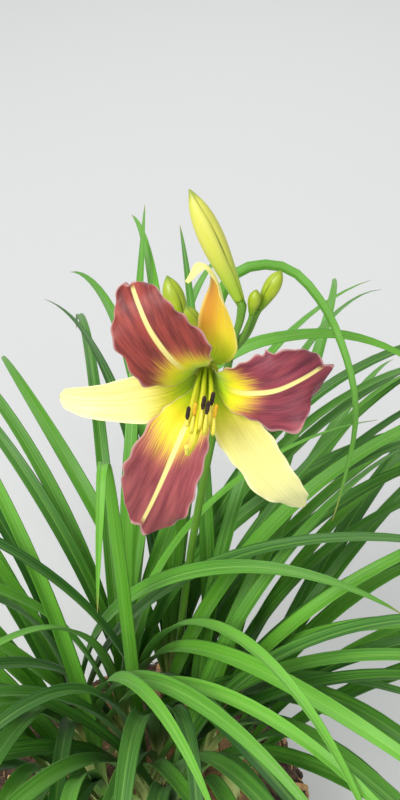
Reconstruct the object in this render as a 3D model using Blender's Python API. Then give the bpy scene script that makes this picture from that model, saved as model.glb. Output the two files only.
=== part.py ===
"""A daylily plant lifted with its clump of earth: leaf fans, a forked flower stalk, buds and an open bloom.

Metres, +Z up. The origin is on the surface that the clump stands on, under the middle of the clump.
The bloom faces the front (-Y) and a little upward. +X is to the right of someone who faces the bloom.
"""

import math
import random

import bmesh
import bpy
import numpy as np
from mathutils import Matrix, Vector
from mathutils.bvhtree import BVHTree

MM = 0.001
UP = np.array([0.0, 0.0, 1.0])

# The gap that touching pieces keep.
GAP = 0.35 * MM

# The lifted clump: a clod of earth with the crown in a dish on its top.
CLOD_RADIUS = 140 * MM
CLOD_HEIGHT = 113 * MM
CLOD_BUMPS = 0.06
CLOD_SIDES = 22
CROWN_RADIUS = 96 * MM
CROWN_TOP = 124 * MM
CROWN_BOTTOM = 88 * MM
CROWN_SIDES = 18
CROWN_LOBES = 0.06

# The fleshy roots, which leave the crown and run down the outside of the clod.
ROOT_COUNT = 12
ROOT_RADIUS = 3.2 * MM
ROOT_SWELLING = 3.8 * MM
ROOT_SIDES = 5
ROOT_STATIONS = 6
ROOT_CLEARANCE = 0.5 * MM

# The leaf fans. A fan's neck is the flattened column of leaf feet from which its blades part, to and fro.
FAN_COUNT = 13
FAN_SPREAD = 80 * MM
STALK_PLACE = 3
FAN_SEED = 41
LEAVES_PER_FAN = 10
LEAF_STATIONS = 6
LEADING_STATIONS = 13
LEAF_STEPS = 84
LEAF_THICKNESS = 1.0 * MM
LEAF_CLEARANCE = 0.45 * MM
LEAF_TRIES = 220
NECK_BREADTH = 10.5 * MM
NECK_DEPTH = 7.5 * MM
NECK_RISE = 72 * MM
NECK_SIDES = 7

# The leaves seen beside the bloom: fan, width, twist and the points each passes through, in millimetres.
LEADING_LEAVES = [
    (
        10, 13.0, -1.6,
        [(32, 74, 300), (42, 78, 440), (53, 80, 560), (68, 81, 632), (101, 81, 644), (126, 60, 631),
         (142, 28, 607), (145, -1, 587), (136, -33, 563), (130, -48, 551)],
    ),
    (
        5, 15.0, 1.2,
        [(0, 62, 330), (20, 64, 470), (44, 64, 552), (75, 66, 587), (112, 71, 596), (150, 72, 594),
         (188, 68, 578), (220, 62, 548)],
    ),
    (
        2, 14.0, 0.2,
        [(-2, -24, 330), (-6, -14, 470), (-8, -15, 555), (-9, -27, 576), (-10, -48, 560), (-12, -64, 530),
         (-14, -76, 495)],
    ),
]

# The flower stalk and where the bloom sits on it.
STALK_FOOT_HEIGHT = 98 * MM
STALK_FORK = np.array([70.0, 18.0, 640.0]) * MM
STALK_RADIUS = 3.5 * MM
STALK_SIDES = 8
BLOOM_CENTRE = np.array([53.0, -24.4, 654.1]) * MM
BLOOM_RISE_DEG = 20.0

# The bloom.
TEPAL_THICKNESS = 0.9 * MM
TEPAL_ROWS = 10
TEPAL_COLUMNS = 6
FILAMENT_RADIUS = 1.05 * MM
ANTHER_LENGTH = 8.5 * MM
ANTHER_RADIUS = 1.15 * MM

COLOURS = {
    "petal": ((0.42, 0.07, 0.07), 0.5),
    "sepal": ((0.82, 0.76, 0.22), 0.5),
    "throat": ((0.42, 0.52, 0.05), 0.5),
    "filament": ((0.72, 0.70, 0.10), 0.5),
    "anther": ((0.07, 0.03, 0.015), 0.7),
    "bud": ((0.42, 0.52, 0.05), 0.45),
    "leaf": ((0.09, 0.24, 0.03), 0.45),
    "stalk": ((0.10, 0.26, 0.04), 0.45),
    "root": ((0.42, 0.27, 0.13), 0.85),
    "earth": ((0.07, 0.045, 0.03), 0.95),
}

# Each tepal in the bloom's own frame, in millimetres: x to the right, y up its face and z out of it.
# The midrib runs from the tube to the tip. The widths are from the midrib to each edge, cup is the
# half angle of the curved cross-section and roll turns the blade about its midrib, both in degrees.
TEPALS = {
    "petal_upper_left": {
        "midrib": [(-2.6, 3.7, 0), (-6, 8.4, 16), (-12, 14, 29), (-19, 24.5, 38), (-28, 40.5, 43), (-34, 54, 40),
                   (-38, 62, 30)],
        "left": [3.5, 6.4, 13, 18.5, 20.5, 14.5, 6],
        "right": [3.5, 6.8, 15, 20.5, 18.5, 13.5, 9],
        "cup": [48, 42, 28, 12, 2, -8, -10],
        "roll": [0, 0, 0, 0, 0, 0, 0],
        "ruffle": 2.6,
        "phase": 0.4,
        "lobes": (-1.0, 0.0),
    },
    "petal_right": {
        "midrib": [(4.5, 0.5, 0), (8.4, 0.9, 16), (14, 1.2, 28), (24, 3, 36), (37, 6, 39), (50, 11.5, 37),
                   (65, 17, 28)],
        "left": [3.5, 6.8, 14, 19, 22, 18, 8],
        "right": [3.5, 6.4, 11.5, 16, 22, 17.5, 10],
        "cup": [48, 42, 28, 12, 0, -10, -10],
        "roll": [0, 0, 0, 0, 0, 0, 0],
        "ruffle": 2.8,
        "phase": 1.9,
        "lobes": (0.0, 5.0),
    },
    "petal_lower": {
        "midrib": [(-1.5, -4.2, 0), (-3.2, -8, 16), (-7.5, -13, 28), (-13, -21.5, 36), (-21, -41, 39),
                   (-29, -63, 34), (-37, -85, 24)],
        "left": [3.5, 6.4, 11, 15.5, 18.5, 20, 13],
        "right": [3.5, 6.6, 12.5, 18, 21, 21, 8],
        "cup": [48, 42, 28, 12, 4, -6, -8],
        "roll": [0, 0, 0, 0, 0, 0, 0],
        "ruffle": 2.2,
        "phase": 3.3,
        "lobes": (7.0, 1.0),
    },
    "sepal_left": {
        "midrib": [(-6.4, -1.3, 0), (-11.2, -2.2, 12), (-19, -3.4, 21), (-32, -3.2, 28), (-50, -4.6, 30),
                   (-67, -6, 26), (-80, -10, 12)],
        "left": [4.0, 6.5, 11.5, 14, 11.5, 8.5, 1.5],
        "right": [4.0, 6.5, 11.5, 14, 11.5, 8.5, 1.5],
        "cup": [36, 32, 22, 20, 26, 30, 20],
        "roll": [0, 0, 0, 0, 0, 0, 0],
        "ruffle": 0.9,
        "phase": 0.9,
        "lobes": (0.0, 0.0),
    },
    "sepal_lower_right": {
        "midrib": [(3.8, -5.3, 0), (6.6, -9.4, 12), (12, -15.2, 21), (21, -27.5, 29), (33.5, -45.5, 31),
                   (46.5, -62, 27), (57, -80, 12)],
        "left": [4.0, 6.5, 11.5, 13.5, 12.5, 10, 2],
        "right": [4.0, 6.5, 11.5, 13.5, 12.5, 10, 2],
        "cup": [36, 32, 22, 16, 14, 20, 20],
        "roll": [0, 0, 0, 0, 0, 0, 0],
        "ruffle": 1.2,
        "phase": 2.2,
        "lobes": (0.0, 0.0),
    },
    "sepal_top": {
        "midrib": [(1.3, 6.3, 0), (3.2, 12.4, 12), (6.0, 24.5, 22.5), (7.6, 45, 30), (5.8, 64, 34), (-2, 73, 35),
                   (-10, 65, 38)],
        "left": [4.0, 6.8, 11, 12, 6, 4.5, 1.2],
        "right": [4.0, 6.8, 11, 9, 5, 4.5, 1.2],
        "cup": [36, 32, 24, 26, 34, 34, 20],
        "roll": [0, 0, 6, 34, 74, 84, 84],
        "ruffle": 0.8,
        "phase": 4.1,
        "lobes": (0.0, 0.0),
    },
}

# Where each stamen bends and ends in the bloom's frame, in millimetres.
STAMENS = {
    "stamen_1": [(-2.2, 1.3, 1), (-5.4, 1.0, 28), (-9.2, -5.6, 54), (-9.6, -2.0, 58)],
    "stamen_2": [(-2.2, -1.3, 1), (-4.9, -4.4, 28), (-7.6, -10.6, 54), (-6.2, 1.0, 60)],
    "stamen_3": [(0.0, 2.55, 1), (-1.3, 1.8, 28), (-3.4, -7.0, 56), (-1.9, 5.5, 62)],
    "stamen_4": [(0.0, -2.55, 1), (-0.2, -5.8, 30), (-0.8, -9.6, 57), (0.2, 3.4, 63)],
    "stamen_5": [(2.2, 1.3, 1), (2.9, 0.9, 28), (1.7, -6.0, 54), (2.6, 6.4, 59)],
    "stamen_6": [(2.2, -1.3, 1), (3.1, -4.2, 28), (3.6, -11.0, 55), (4.2, 0.0, 60)],
}
PISTIL = [(0, 0, 1), (-0.9, -2.2, 28), (-4.4, -12.8, 54), (-9.0, -13.4, 73), (-9.8, -6.8, 78)]
PISTIL_RADIUS = 0.95 * MM
TUBE_BACK = (0, -2.2, -38)
TUBE_NEAR_BACK = (0, -1.0, -32)

# Each bud: where it sits and where it ends, from the fork of the stalk, and its greatest radius.
BUDS = {
    "bud_large": ((3.0, 9.0, 22.0), (-26.0, 34.0, 82.0), 7.2),
    "bud_left_tall": ((-29.0, -2.0, 6.0), (-39.0, 12.0, 38.0), 6.2),
    "bud_left_short": ((-19.0, -9.0, 10.0), (-28.0, -8.0, 32.0), 4.4),
    "bud_right_tall": ((15.0, 11.0, 14.0), (27.0, 17.0, 38.0), 4.8),
    "bud_right_short": ((10.0, 5.0, 15.0), (12.5, 8.0, 31.0), 3.6),
}


def normalised(vector):
    return vector / np.linalg.norm(vector)


def smooth_values(controls, places):
    """A smooth curve through evenly spaced control values, read at places from 0 to 1."""
    controls = np.asarray(controls, float)
    if controls.ndim == 1:
        return smooth_values(controls[:, None], places)[:, 0]
    spans = len(controls) - 1
    padded = np.vstack([2 * controls[0] - controls[1], controls, 2 * controls[-1] - controls[-2]])
    at = np.clip(np.asarray(places, float), 0, 1) * spans
    span = np.minimum(at.astype(int), spans - 1)
    u = (at - span)[:, None]
    before, start, end, after = (padded[span + k] for k in range(4))
    return 0.5 * (
        2 * start
        + (end - before) * u
        + (2 * before - 5 * start + 4 * end - after) * u**2
        + (3 * start - before - 3 * end + after) * u**3
    )


def carried_frames(points, first_side):
    """Tangents and sides along a path: the side is carried from point to point without turning about it."""
    tangents = np.gradient(points, axis=0)
    tangents /= np.linalg.norm(tangents, axis=1)[:, None]
    sides = np.empty_like(points)
    side = np.asarray(first_side, float)
    for k, tangent in enumerate(tangents):
        side = normalised(side - tangent * (side @ tangent))
        sides[k] = side
    return tangents, sides


def make_material(name):
    colour, roughness = COLOURS[name]
    material = bpy.data.materials.new(name)
    material.use_nodes = True
    shader = material.node_tree.nodes["Principled BSDF"]
    shader.inputs["Base Color"].default_value = (*colour, 1.0)
    shader.inputs["Roughness"].default_value = roughness
    shader.inputs["Metallic"].default_value = 0.0
    return material


def material_of(name):
    return bpy.data.materials.get(name) or make_material(name)


def mesh_object(name, points, faces, material, parent=None):
    mesh = bpy.data.meshes.new(name)
    mesh.from_pydata([tuple(p) for p in points], [], [tuple(f) for f in faces])
    mesh.materials.append(material_of(material))
    mesh.shade_smooth()
    mesh.set_sharp_from_angle(angle=math.radians(50))
    made = bpy.data.objects.new(name, mesh)
    bpy.context.scene.collection.objects.link(made)
    made.parent = parent
    return made


def united(name, pieces, material):
    """The pieces joined by one Boolean union into the first of them."""
    first, *rest = pieces
    joined = bpy.data.collections.new(name + "_parts")
    for piece in rest:
        joined.objects.link(piece)
    union = first.modifiers.new("join", "BOOLEAN")
    union.operation = "UNION"
    union.operand_type = "COLLECTION"
    union.collection = joined
    union.solver = "EXACT"
    graph = bpy.context.evaluated_depsgraph_get()
    mesh = bpy.data.meshes.new_from_object(first.evaluated_get(graph))
    for piece in pieces:
        bpy.data.objects.remove(piece)
    bpy.data.collections.remove(joined)
    fill_hollows(mesh)
    mesh.materials.clear()
    mesh.materials.append(material_of(material))
    made = bpy.data.objects.new(name, mesh)
    bpy.context.scene.collection.objects.link(made)
    return made


def fill_hollows(mesh):
    """Fills what crossing blades have shut in between them, by leaving only the outermost shell."""
    shape = bmesh.new()
    shape.from_mesh(mesh)
    unseen = set(shape.verts)
    shells = []
    while unseen:
        shell = [unseen.pop()]
        for vertex in shell:
            for edge in vertex.link_edges:
                other = edge.other_vert(vertex)
                if other in unseen:
                    unseen.remove(other)
                    shell.append(other)
        shells.append(shell)
    outermost = max(shells, key=lambda shell: max(vertex.co.z for vertex in shell))
    for shell in shells:
        if shell is not outermost:
            bmesh.ops.delete(shape, geom=shell, context="VERTS")
    shape.to_mesh(mesh)
    shape.free()


def cut_from(body, cutters):
    """Takes each cutter's shape out of the body and removes the cutters."""
    for k, cutter in enumerate(cutters):
        difference = body.modifiers.new(f"cut_{k}", "BOOLEAN")
        difference.operation = "DIFFERENCE"
        difference.object = cutter
        difference.solver = "EXACT"
    graph = bpy.context.evaluated_depsgraph_get()
    mesh = bpy.data.meshes.new_from_object(body.evaluated_get(graph))
    body.modifiers.clear()
    body.data = mesh
    for cutter in cutters:
        bpy.data.objects.remove(cutter)


def ring_faces(rings, sides):
    """Triangles between consecutive rings of points, with a flat cap at each end."""
    faces = []
    for ring in range(rings - 1):
        for k in range(sides):
            a = ring * sides + k
            b = ring * sides + (k + 1) % sides
            faces += [(a, b, b + sides), (a, b + sides, a + sides)]
    last = (rings - 1) * sides
    faces.append(tuple(reversed(range(sides))))
    faces.append(tuple(last + k for k in range(sides)))
    return faces


def tube(name, path, radii, sides, material, parent=None, flat=1.0):
    """A round stem along a path. flat under 1 narrows it across its second direction."""
    path = np.asarray(path, float)
    first = np.cross(path[1] - path[0], [0.31, 0.83, 0.46])
    tangents, across = carried_frames(path, first)
    second = np.cross(tangents, across)
    turns = np.arange(sides) * 2 * math.pi / sides
    points = []
    for k, centre in enumerate(path):
        for turn in turns:
            points.append(centre + radii[k] * (math.cos(turn) * across[k] + flat * math.sin(turn) * second[k]))
    return mesh_object(name, points, ring_faces(len(path), sides), material, parent)


def clod_surface(turn, place, grow=0.0):
    """A point on the clod: turn is the angle round it, place runs from its top centre (0) to its foot (1)."""
    outline = smooth_values(
        [(0, 1), (0.4, 1), (0.8, 0.96), (1.0, 0.78), (1.02, 0.5), (0.95, 0.22), (0.85, 0.05), (0.80, 0)],
        [place],
    )[0]
    waves = math.sin(2 * turn + 0.7) + 0.7 * math.sin(3 * turn + 5 * outline[1])
    bumps = 1 + CLOD_BUMPS * (waves + 0.5 * math.sin(7 * turn - 6 * outline[1]))
    radius = CLOD_RADIUS * outline[0] * bumps + grow
    return np.array([radius * math.cos(turn), radius * math.sin(turn), CLOD_HEIGHT * outline[1]])


def make_clod():
    places = [0.30, 0.44, 0.58, 0.70, 0.82, 0.92, 1.0]
    rings = []
    for place in reversed(places):
        for k in range(CLOD_SIDES):
            rings.append(clod_surface(k * 2 * math.pi / CLOD_SIDES, place))
    for point in rings[:CLOD_SIDES]:
        point[2] = 0.0
    for point in rings[-CLOD_SIDES:]:
        point[2] = CLOD_HEIGHT
    return mesh_object("earth_clod", rings, ring_faces(len(places), CLOD_SIDES), "earth")


def root_path(number, stations):
    """A fleshy root: out of the crown, over the clod's shoulder and down its side, half sunk in it."""
    draw = random.Random(900 + number)
    start = (number + draw.uniform(-0.2, 0.2)) * 2 * math.pi / ROOT_COUNT
    wander = draw.uniform(-0.30, 0.30)
    wave = draw.uniform(0, 2 * math.pi)
    end = draw.uniform(0.70, 0.90)
    points = []
    for step in np.linspace(0, 1, stations):
        turn = start + wander * step + 0.07 * math.sin(6 * step + wave)
        points.append(clod_surface(turn, 0.28 + (end - 0.28) * step, 0.4 * MM))
    inside = CROWN_RADIUS * 0.8
    points[0] = np.array([inside * math.cos(start), inside * math.sin(start), CROWN_TOP - 11 * MM])
    return np.array(points), draw


def root_radii(draw, stations, grow):
    swell = draw.uniform(0.45, 0.75)
    steps = np.linspace(0, 1, stations)
    bulge = np.exp(-(((steps - swell) / 0.17) ** 2))
    return (ROOT_RADIUS + ROOT_SWELLING * bulge) * (1 - 0.55 * steps**2) + grow


def crown_shapes(grow):
    """The crown and its roots as loose shapes, each larger all round by grow."""
    heights = [CROWN_BOTTOM - grow, CROWN_BOTTOM + 10 * MM, CROWN_TOP - 7 * MM, CROWN_TOP + grow]
    rings = []
    for z, size in zip(heights, [0.86, 1.0, 0.97, 0.86]):
        for k in range(CROWN_SIDES):
            turn = k * 2 * math.pi / CROWN_SIDES
            lobes = 1 + CROWN_LOBES * (math.sin(3 * turn + 1.1) + 0.6 * math.sin(5 * turn))
            radius = CROWN_RADIUS * size * lobes + grow
            rings.append((radius * math.cos(turn), radius * math.sin(turn), z))
    shapes = [mesh_object("crown", rings, ring_faces(len(heights), CROWN_SIDES), "root")]
    for number in range(ROOT_COUNT):
        path, draw = root_path(number, ROOT_STATIONS)
        if grow:
            path[-1] += grow * normalised(path[-1] - path[-2])
        radii = root_radii(draw, ROOT_STATIONS, grow)
        shapes.append(tube(f"root_{number}", path, radii, ROOT_SIDES, "root"))
    return shapes


def spiral_place(number):
    """Places on the crown from the middle outward. One is the stalk's, the others are the fans'."""
    radius = FAN_SPREAD * math.sqrt((number + 0.45) / (FAN_COUNT + 1))
    turn = number * math.pi * (3 - math.sqrt(5)) - 0.04
    return radius * math.cos(turn), radius * math.sin(turn)


def fans_on_crown():
    """Each fan's place on the crown and the direction in which it spreads."""
    draw = random.Random(FAN_SEED)
    places = [spiral_place(number) for number in range(FAN_COUNT + 1) if number != STALK_PLACE]
    return [(place, draw.uniform(0, math.pi)) for place in places]


def draw_leaf(draw, place, plane, number, stray):
    """One leaf of a fan by chance: the first is the oldest and lowest, the last is the most upright.

    stray grows from 0 to 1 while the leaf finds no free room, and lets it leave its fan's plane.
    """
    rank = number / (LEAVES_PER_FAN - 1)
    ward = plane + math.pi * (number % 2)
    outward = math.atan2(place[1], place[0])
    pull = min(1.0, math.hypot(*place) / FAN_SPREAD) * 0.5
    turn = draw.gauss(0, 0.25 + 0.75 * stray) + math.atan2(
        (1 - pull) * math.sin(ward) + pull * math.sin(outward),
        (1 - pull) * math.cos(ward) + pull * math.cos(outward),
    )
    off = NECK_BREADTH * 0.3 * (1 - 0.8 * rank)
    return {
        "foot": (
            place[0] + off * math.cos(ward),
            place[1] + off * math.sin(ward),
            CROWN_TOP + NECK_RISE * (0.06 + 0.7 * rank),
        ),
        "turn": turn,
        "lean": math.radians(draw.uniform(10, 22) * (1 - 0.75 * rank)),
        "droop": math.radians(draw.uniform(128, 168) - 62 * rank * draw.uniform(0.3, 1.0)),
        "late": draw.uniform(1.35, 2.1),
        "drift": draw.uniform(-0.5, 0.5),
        "twist": draw.uniform(-0.9, 0.9),
        "length": draw.uniform(0.50, 0.60) - 0.09 * rank,
        "width": draw.uniform(14, 19.5) * MM,
    }


def run_through(leaf, steps):
    """The same for a leaf that passes through given points."""
    through = smooth_values([leaf["foot"], *leaf["through"]], np.linspace(0, 1, 240))
    lengths = np.concatenate([[0], np.cumsum(np.linalg.norm(np.diff(through, axis=0), axis=1))])
    along = np.linspace(0, 1, steps + 1)
    points = np.stack([np.interp(along * lengths[-1], lengths, through[:, k]) for k in range(3)], axis=1)
    tangents, sides = carried_frames(points, np.cross(UP, points[-1] - points[0]))
    uppers = np.cross(tangents, sides)
    roll = leaf["twist"] * along[:, None] ** 1.5
    turned_sides = sides * np.cos(roll) + uppers * np.sin(roll)
    turned_uppers = uppers * np.cos(roll) - sides * np.sin(roll)
    return along, points, tangents, turned_sides, turned_uppers


def leaf_run(leaf, steps):
    """Points, tangents, sides and upper directions of a leaf at even steps along it."""
    if "through" in leaf:
        return run_through(leaf, steps)
    along = np.linspace(0, 1, steps + 1)
    tilt = leaf["lean"] + (leaf["droop"] - leaf["lean"]) * along ** leaf["late"]
    turn = leaf["turn"] + leaf["drift"] * along**2
    heading = np.stack([np.cos(turn), np.sin(turn), np.zeros_like(turn)], axis=1)
    tangents = np.sin(tilt)[:, None] * heading + np.cos(tilt)[:, None] * UP
    middles = (tangents[1:] + tangents[:-1]) / 2 * (leaf["length"] / steps)
    points = np.vstack([[0, 0, 0], np.cumsum(middles, axis=0)]) + leaf["foot"]
    level = np.stack([-np.sin(turn), np.cos(turn), np.zeros_like(turn)], axis=1)
    above = np.cross(tangents, level)
    roll = leaf["twist"] * along[:, None] ** 1.5
    sides = level * np.cos(roll) + above * np.sin(roll)
    uppers = above * np.cos(roll) - level * np.sin(roll)
    return along, points, tangents, sides, uppers


def leaf_half_width(leaf, along):
    """Half the blade's width along it: drawn in at its foot, widest before the middle, with a long point."""
    opening = 0.5 + 0.5 * np.sin(np.clip(along / 0.36, 0, 1) * math.pi / 2)
    return leaf["width"] / 2 * opening * np.clip(1 - along**2.4, 0, 1) ** 0.8


def leaf_fold(along):
    """How steeply each half of the blade rises from its keel, in radians."""
    return math.radians(24) + math.radians(34) * np.exp(-along / 0.13)


def leaf_stations(tangents, count):
    """Step numbers for the blade's rings, closer together where it bends more."""
    turning = np.linalg.norm(np.diff(tangents, axis=0), axis=1)
    measure = 0.5 / len(turning) + 0.5 * turning / turning.sum()
    measure = np.concatenate([[0], np.cumsum(measure)])
    even = np.linspace(0, measure[-1], count + 1)
    return [int(round(s)) for s in np.interp(even, measure, np.arange(len(measure)))]


def blade_shape(leaf, half_thickness, edge):
    """Points and faces of a folded blade. edge is half its thickness at its two edges."""
    along, points, tangents, sides, uppers = leaf_run(leaf, LEAF_STEPS)
    rings = LEADING_STATIONS if "through" in leaf else LEAF_STATIONS
    picked = leaf_stations(tangents, rings)
    half = leaf_half_width(leaf, along)
    fold = leaf_fold(along)
    shape = []
    for k in picked[:-1]:
        out = sides[k] * half[k] * math.cos(fold[k])
        rise = uppers[k] * half[k] * math.sin(fold[k])
        thick = uppers[k] * half_thickness
        if edge:
            lip = uppers[k] * edge
            shape += [points[k] - out + rise - lip, points[k] - thick, points[k] + out + rise - lip]
            shape += [points[k] + out + rise + lip, points[k] + thick, points[k] - out + rise + lip]
        else:
            shape += [points[k] - out + rise, points[k] - thick, points[k] + out + rise, points[k] + thick]
    shape.append(points[-1])
    sides_count = 6 if edge else 4
    faces = []
    for ring in range(rings - 1):
        for k in range(sides_count):
            a = ring * sides_count + k
            b = ring * sides_count + (k + 1) % sides_count
            c, d = b + sides_count, a + sides_count
            edge_first = k % 2 == 0
            faces += [(a, b, c), (a, c, d)] if edge_first else [(a, b, d), (b, c, d)]
    last = (rings - 1) * sides_count
    tip = rings * sides_count
    for k in range(sides_count):
        faces.append((last + k, last + (k + 1) % sides_count, tip))
    faces.append(tuple(reversed(range(sides_count))))
    return shape, faces


def split_in_triangles(faces):
    return [(f[0], f[k], f[k + 1]) for f in faces for k in range(1, len(f) - 1)]


def surface_tree(points, faces):
    """The search tree of a surface given by its points and faces."""
    return BVHTree.FromPolygons([tuple(p) for p in points], split_in_triangles(faces), all_triangles=True)


class Room:
    """The space that is taken: each thing's box and its surface, to test the next thing against."""

    def __init__(self):
        self.taken = []

    def add(self, owner, points, faces):
        points = np.asarray(points)
        self.taken.append((owner, points.min(axis=0), points.max(axis=0), surface_tree(points, faces)))

    def is_free(self, points, faces, owner=None, own_points=None, own_faces=None):
        """Whether a shape meets nothing. What has the same owner is tested with the shape's free part alone."""
        points = np.asarray(points)
        low, high = points.min(axis=0), points.max(axis=0)
        tree = surface_tree(points, faces)
        own = None
        if own_points is not None:
            own = surface_tree(own_points, own_faces)
        for other, other_low, other_high, other_tree in self.taken:
            if (low > other_high).any() or (high < other_low).any():
                continue
            mine = own if other == owner else tree
            if mine is not None and mine.overlap(other_tree):
                return False
        return True


def free_part(shape, faces, rings_left_out, sides_count):
    """The blade without its first rings, which its fan's other leaves share."""
    first = rings_left_out * sides_count
    kept = [tuple(k - first for k in f) for f in faces if min(f) >= first]
    return shape[first:], kept


def too_low(leaf):
    """Whether a leaf would reach the surface that the clump stands on, or its own clod."""
    points = leaf_run(leaf, LEAF_STEPS)[1]
    outside = np.hypot(points[:, 0], points[:, 1]) > CLOD_RADIUS * 1.25
    return bool((points[:, 2] < np.where(outside, 14 * MM, CROWN_TOP + 6 * MM)).any())


def leading_leaf(place, width, twist, through):
    """A leaf of the fan at a place that arches through given points beside the bloom."""
    return {
        "foot": (*place, CROWN_TOP + 0.45 * NECK_RISE),
        "through": np.array(through) * MM,
        "late": 1.0,
        "twist": twist,
        "width": width * MM,
    }


def place_leaves(room, fans):
    """Each fan's leaves, drawn until each one clears all that is there before it."""
    draw = random.Random(FAN_SEED + 1)
    grown = [[] for _ in fans]
    for number, (place, plane) in enumerate(fans):
        room.add(number, *neck_shape(place, plane, LEAF_CLEARANCE))
    for number, width, twist, through in LEADING_LEAVES:
        leaf = leading_leaf(fans[number][0], width, twist, through)
        room.add(number, *blade_shape(leaf, LEAF_CLEARANCE + LEAF_THICKNESS / 2, LEAF_CLEARANCE))
        grown[number].append(leaf)
    for count in range(LEAVES_PER_FAN):
        for number, (place, plane) in enumerate(fans):
            if len(grown[number]) > count:
                continue
            for attempt in range(LEAF_TRIES):
                leaf = draw_leaf(draw, place, plane, count, attempt / LEAF_TRIES)
                if too_low(leaf):
                    continue
                shape, faces = blade_shape(leaf, LEAF_CLEARANCE + LEAF_THICKNESS / 2, LEAF_CLEARANCE)
                own = free_part(shape, faces, 1, 6)
                if room.is_free(shape, faces, number, *own):
                    room.add(number, shape, faces)
                    grown[number].append(leaf)
                    break
    return grown


def neck_shape(place, plane, grow, top=1.0):
    """The stout foot of a fan, where its leaves hold each other. It stands in a plain hole in the crown."""
    heights = [CROWN_TOP - 24 * MM - grow, CROWN_TOP + 4 * MM, CROWN_TOP + NECK_RISE * top]
    sizes = [0.9, 1.0, 0.35 if top == 1.0 else 0.95]
    points = []
    for z, size in zip(heights, sizes):
        for k in range(NECK_SIDES):
            turn = k * 2 * math.pi / NECK_SIDES
            along = (NECK_BREADTH * size + grow) * math.cos(turn)
            across = (NECK_DEPTH * size + grow) * math.sin(turn)
            x = place[0] + along * math.cos(plane) - across * math.sin(plane)
            y = place[1] + along * math.sin(plane) + across * math.cos(plane)
            points.append(np.array([x, y, z]))
    return points, ring_faces(len(heights), NECK_SIDES)


def make_fan(number, place, plane, leaves):
    pieces = [mesh_object("neck", *neck_shape(place, plane, 0.0), "leaf")]
    for leaf in leaves:
        pieces.append(mesh_object("blade", *blade_shape(leaf, LEAF_THICKNESS / 2, 0.0), "leaf"))
    return united(f"leaf_fan_{number + 1:02d}", pieces, "leaf")


def tepal_sheet(shape, rows, columns):
    """Points and inner-side directions of a tepal's middle surface, rows from the tube to the tip."""
    places = np.linspace(0, 1, rows + 1)
    midrib = smooth_values(shape["midrib"], places)
    radial = np.array([midrib[0][0], midrib[0][1], 0.0])
    first_side = normalised(np.array([radial[1], -radial[0], 0.0]))
    tangents, sides = carried_frames(midrib, first_side)
    inners = np.cross(sides, tangents)
    roll = np.radians(smooth_values(shape["roll"], places))[:, None]
    rolled_sides = sides * np.cos(roll) + inners * np.sin(roll)
    inners = inners * np.cos(roll) - sides * np.sin(roll)
    sides = rolled_sides
    cup = np.radians(smooth_values(shape["cup"], places))
    left = smooth_values(shape["left"], places)
    right = smooth_values(shape["right"], places)
    grid = np.empty((rows + 1, columns + 1, 3))
    for column, across in enumerate(np.linspace(-1, 1, columns + 1)):
        width = left if across < 0 else right
        angle = np.where(np.abs(cup) < 1e-3, 1e-3, cup)
        out = width * np.sin(angle * across) / angle
        rise = width * (1 - np.cos(angle * across)) / angle
        strength = shape["ruffle"] * abs(across) ** 2.5 * np.clip((places - 0.2) / 0.5, 0, 1)
        wave = np.sin(2 * math.pi * 2.3 * places + shape["phase"] + (1.7 if across > 0 else 0.0))
        lift = rise + strength * wave
        reach = shape["lobes"][int(across > 0)] * math.sin(math.pi * abs(across)) * places**6
        grid[:, column] = midrib + sides * out[:, None] + inners * lift[:, None] + tangents * reach[:, None]
    return grid


def sheet_normals(grid):
    """Unit normals of a grid of points, on the side where the inner face of a tepal is."""
    down = np.gradient(grid, axis=0)
    across = np.gradient(grid, axis=1)
    normals = np.cross(across, down)
    return normals / np.linalg.norm(normals, axis=2)[:, :, None]


def make_tepal(name, bloom):
    shape = TEPALS[name]
    grid = tepal_sheet(shape, TEPAL_ROWS, TEPAL_COLUMNS) * MM
    offset = sheet_normals(grid) * TEPAL_THICKNESS / 2
    points = np.concatenate([(grid + offset).reshape(-1, 3), (grid - offset).reshape(-1, 3)])
    rows, columns = TEPAL_ROWS + 1, TEPAL_COLUMNS + 1
    back = rows * columns
    faces = []
    for row in range(rows - 1):
        for column in range(columns - 1):
            a = row * columns + column
            b, c, d = a + 1, a + columns + 1, a + columns
            faces += [(a, b, c), (a, c, d)]
            faces += [(back + a, back + c, back + b), (back + a, back + d, back + c)]
    border = [k for k in range(columns)]
    border += [row * columns + columns - 1 for row in range(1, rows)]
    border += [(rows - 1) * columns + k for k in reversed(range(columns - 1))]
    border += [row * columns for row in reversed(range(1, rows - 1))]
    for k, a in enumerate(border):
        b = border[(k + 1) % len(border)]
        faces += [(b, a, back + a), (b, back + a, back + b)]
    kind = "petal" if name.startswith("petal") else "sepal"
    return mesh_object(name, points, faces, kind, bloom)


def make_stamens(bloom):
    for name, controls in STAMENS.items():
        path = smooth_values(np.array(controls) * MM, np.linspace(0, 1, 9))
        tube(name + "_filament", path, FILAMENT_RADIUS * np.linspace(0.9, 0.5, 9), 5, "filament", bloom)
        heading = normalised(path[-1] - path[-2])
        start = path[-1] + heading * GAP
        slant = normalised(np.array([0.12, 0.93, 0.35]))
        anther = start + np.outer([0, 0.12, 0, 0, 0, 0], heading) * ANTHER_LENGTH
        anther += np.outer([0, 0, 0.28, 0.55, 0.82, 1], slant) * ANTHER_LENGTH
        tube(name + "_anther", anther, ANTHER_RADIUS * np.array([0.4, 0.85, 1, 1, 0.85, 0.3]), 5, "anther", bloom)
    path = smooth_values(np.array(PISTIL) * MM, np.linspace(0, 1, 12))
    radii = PISTIL_RADIUS * np.array([1.0] * 10 + [1.1, 1.5])
    tube("pistil", path, radii, 6, "filament", bloom)


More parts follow.
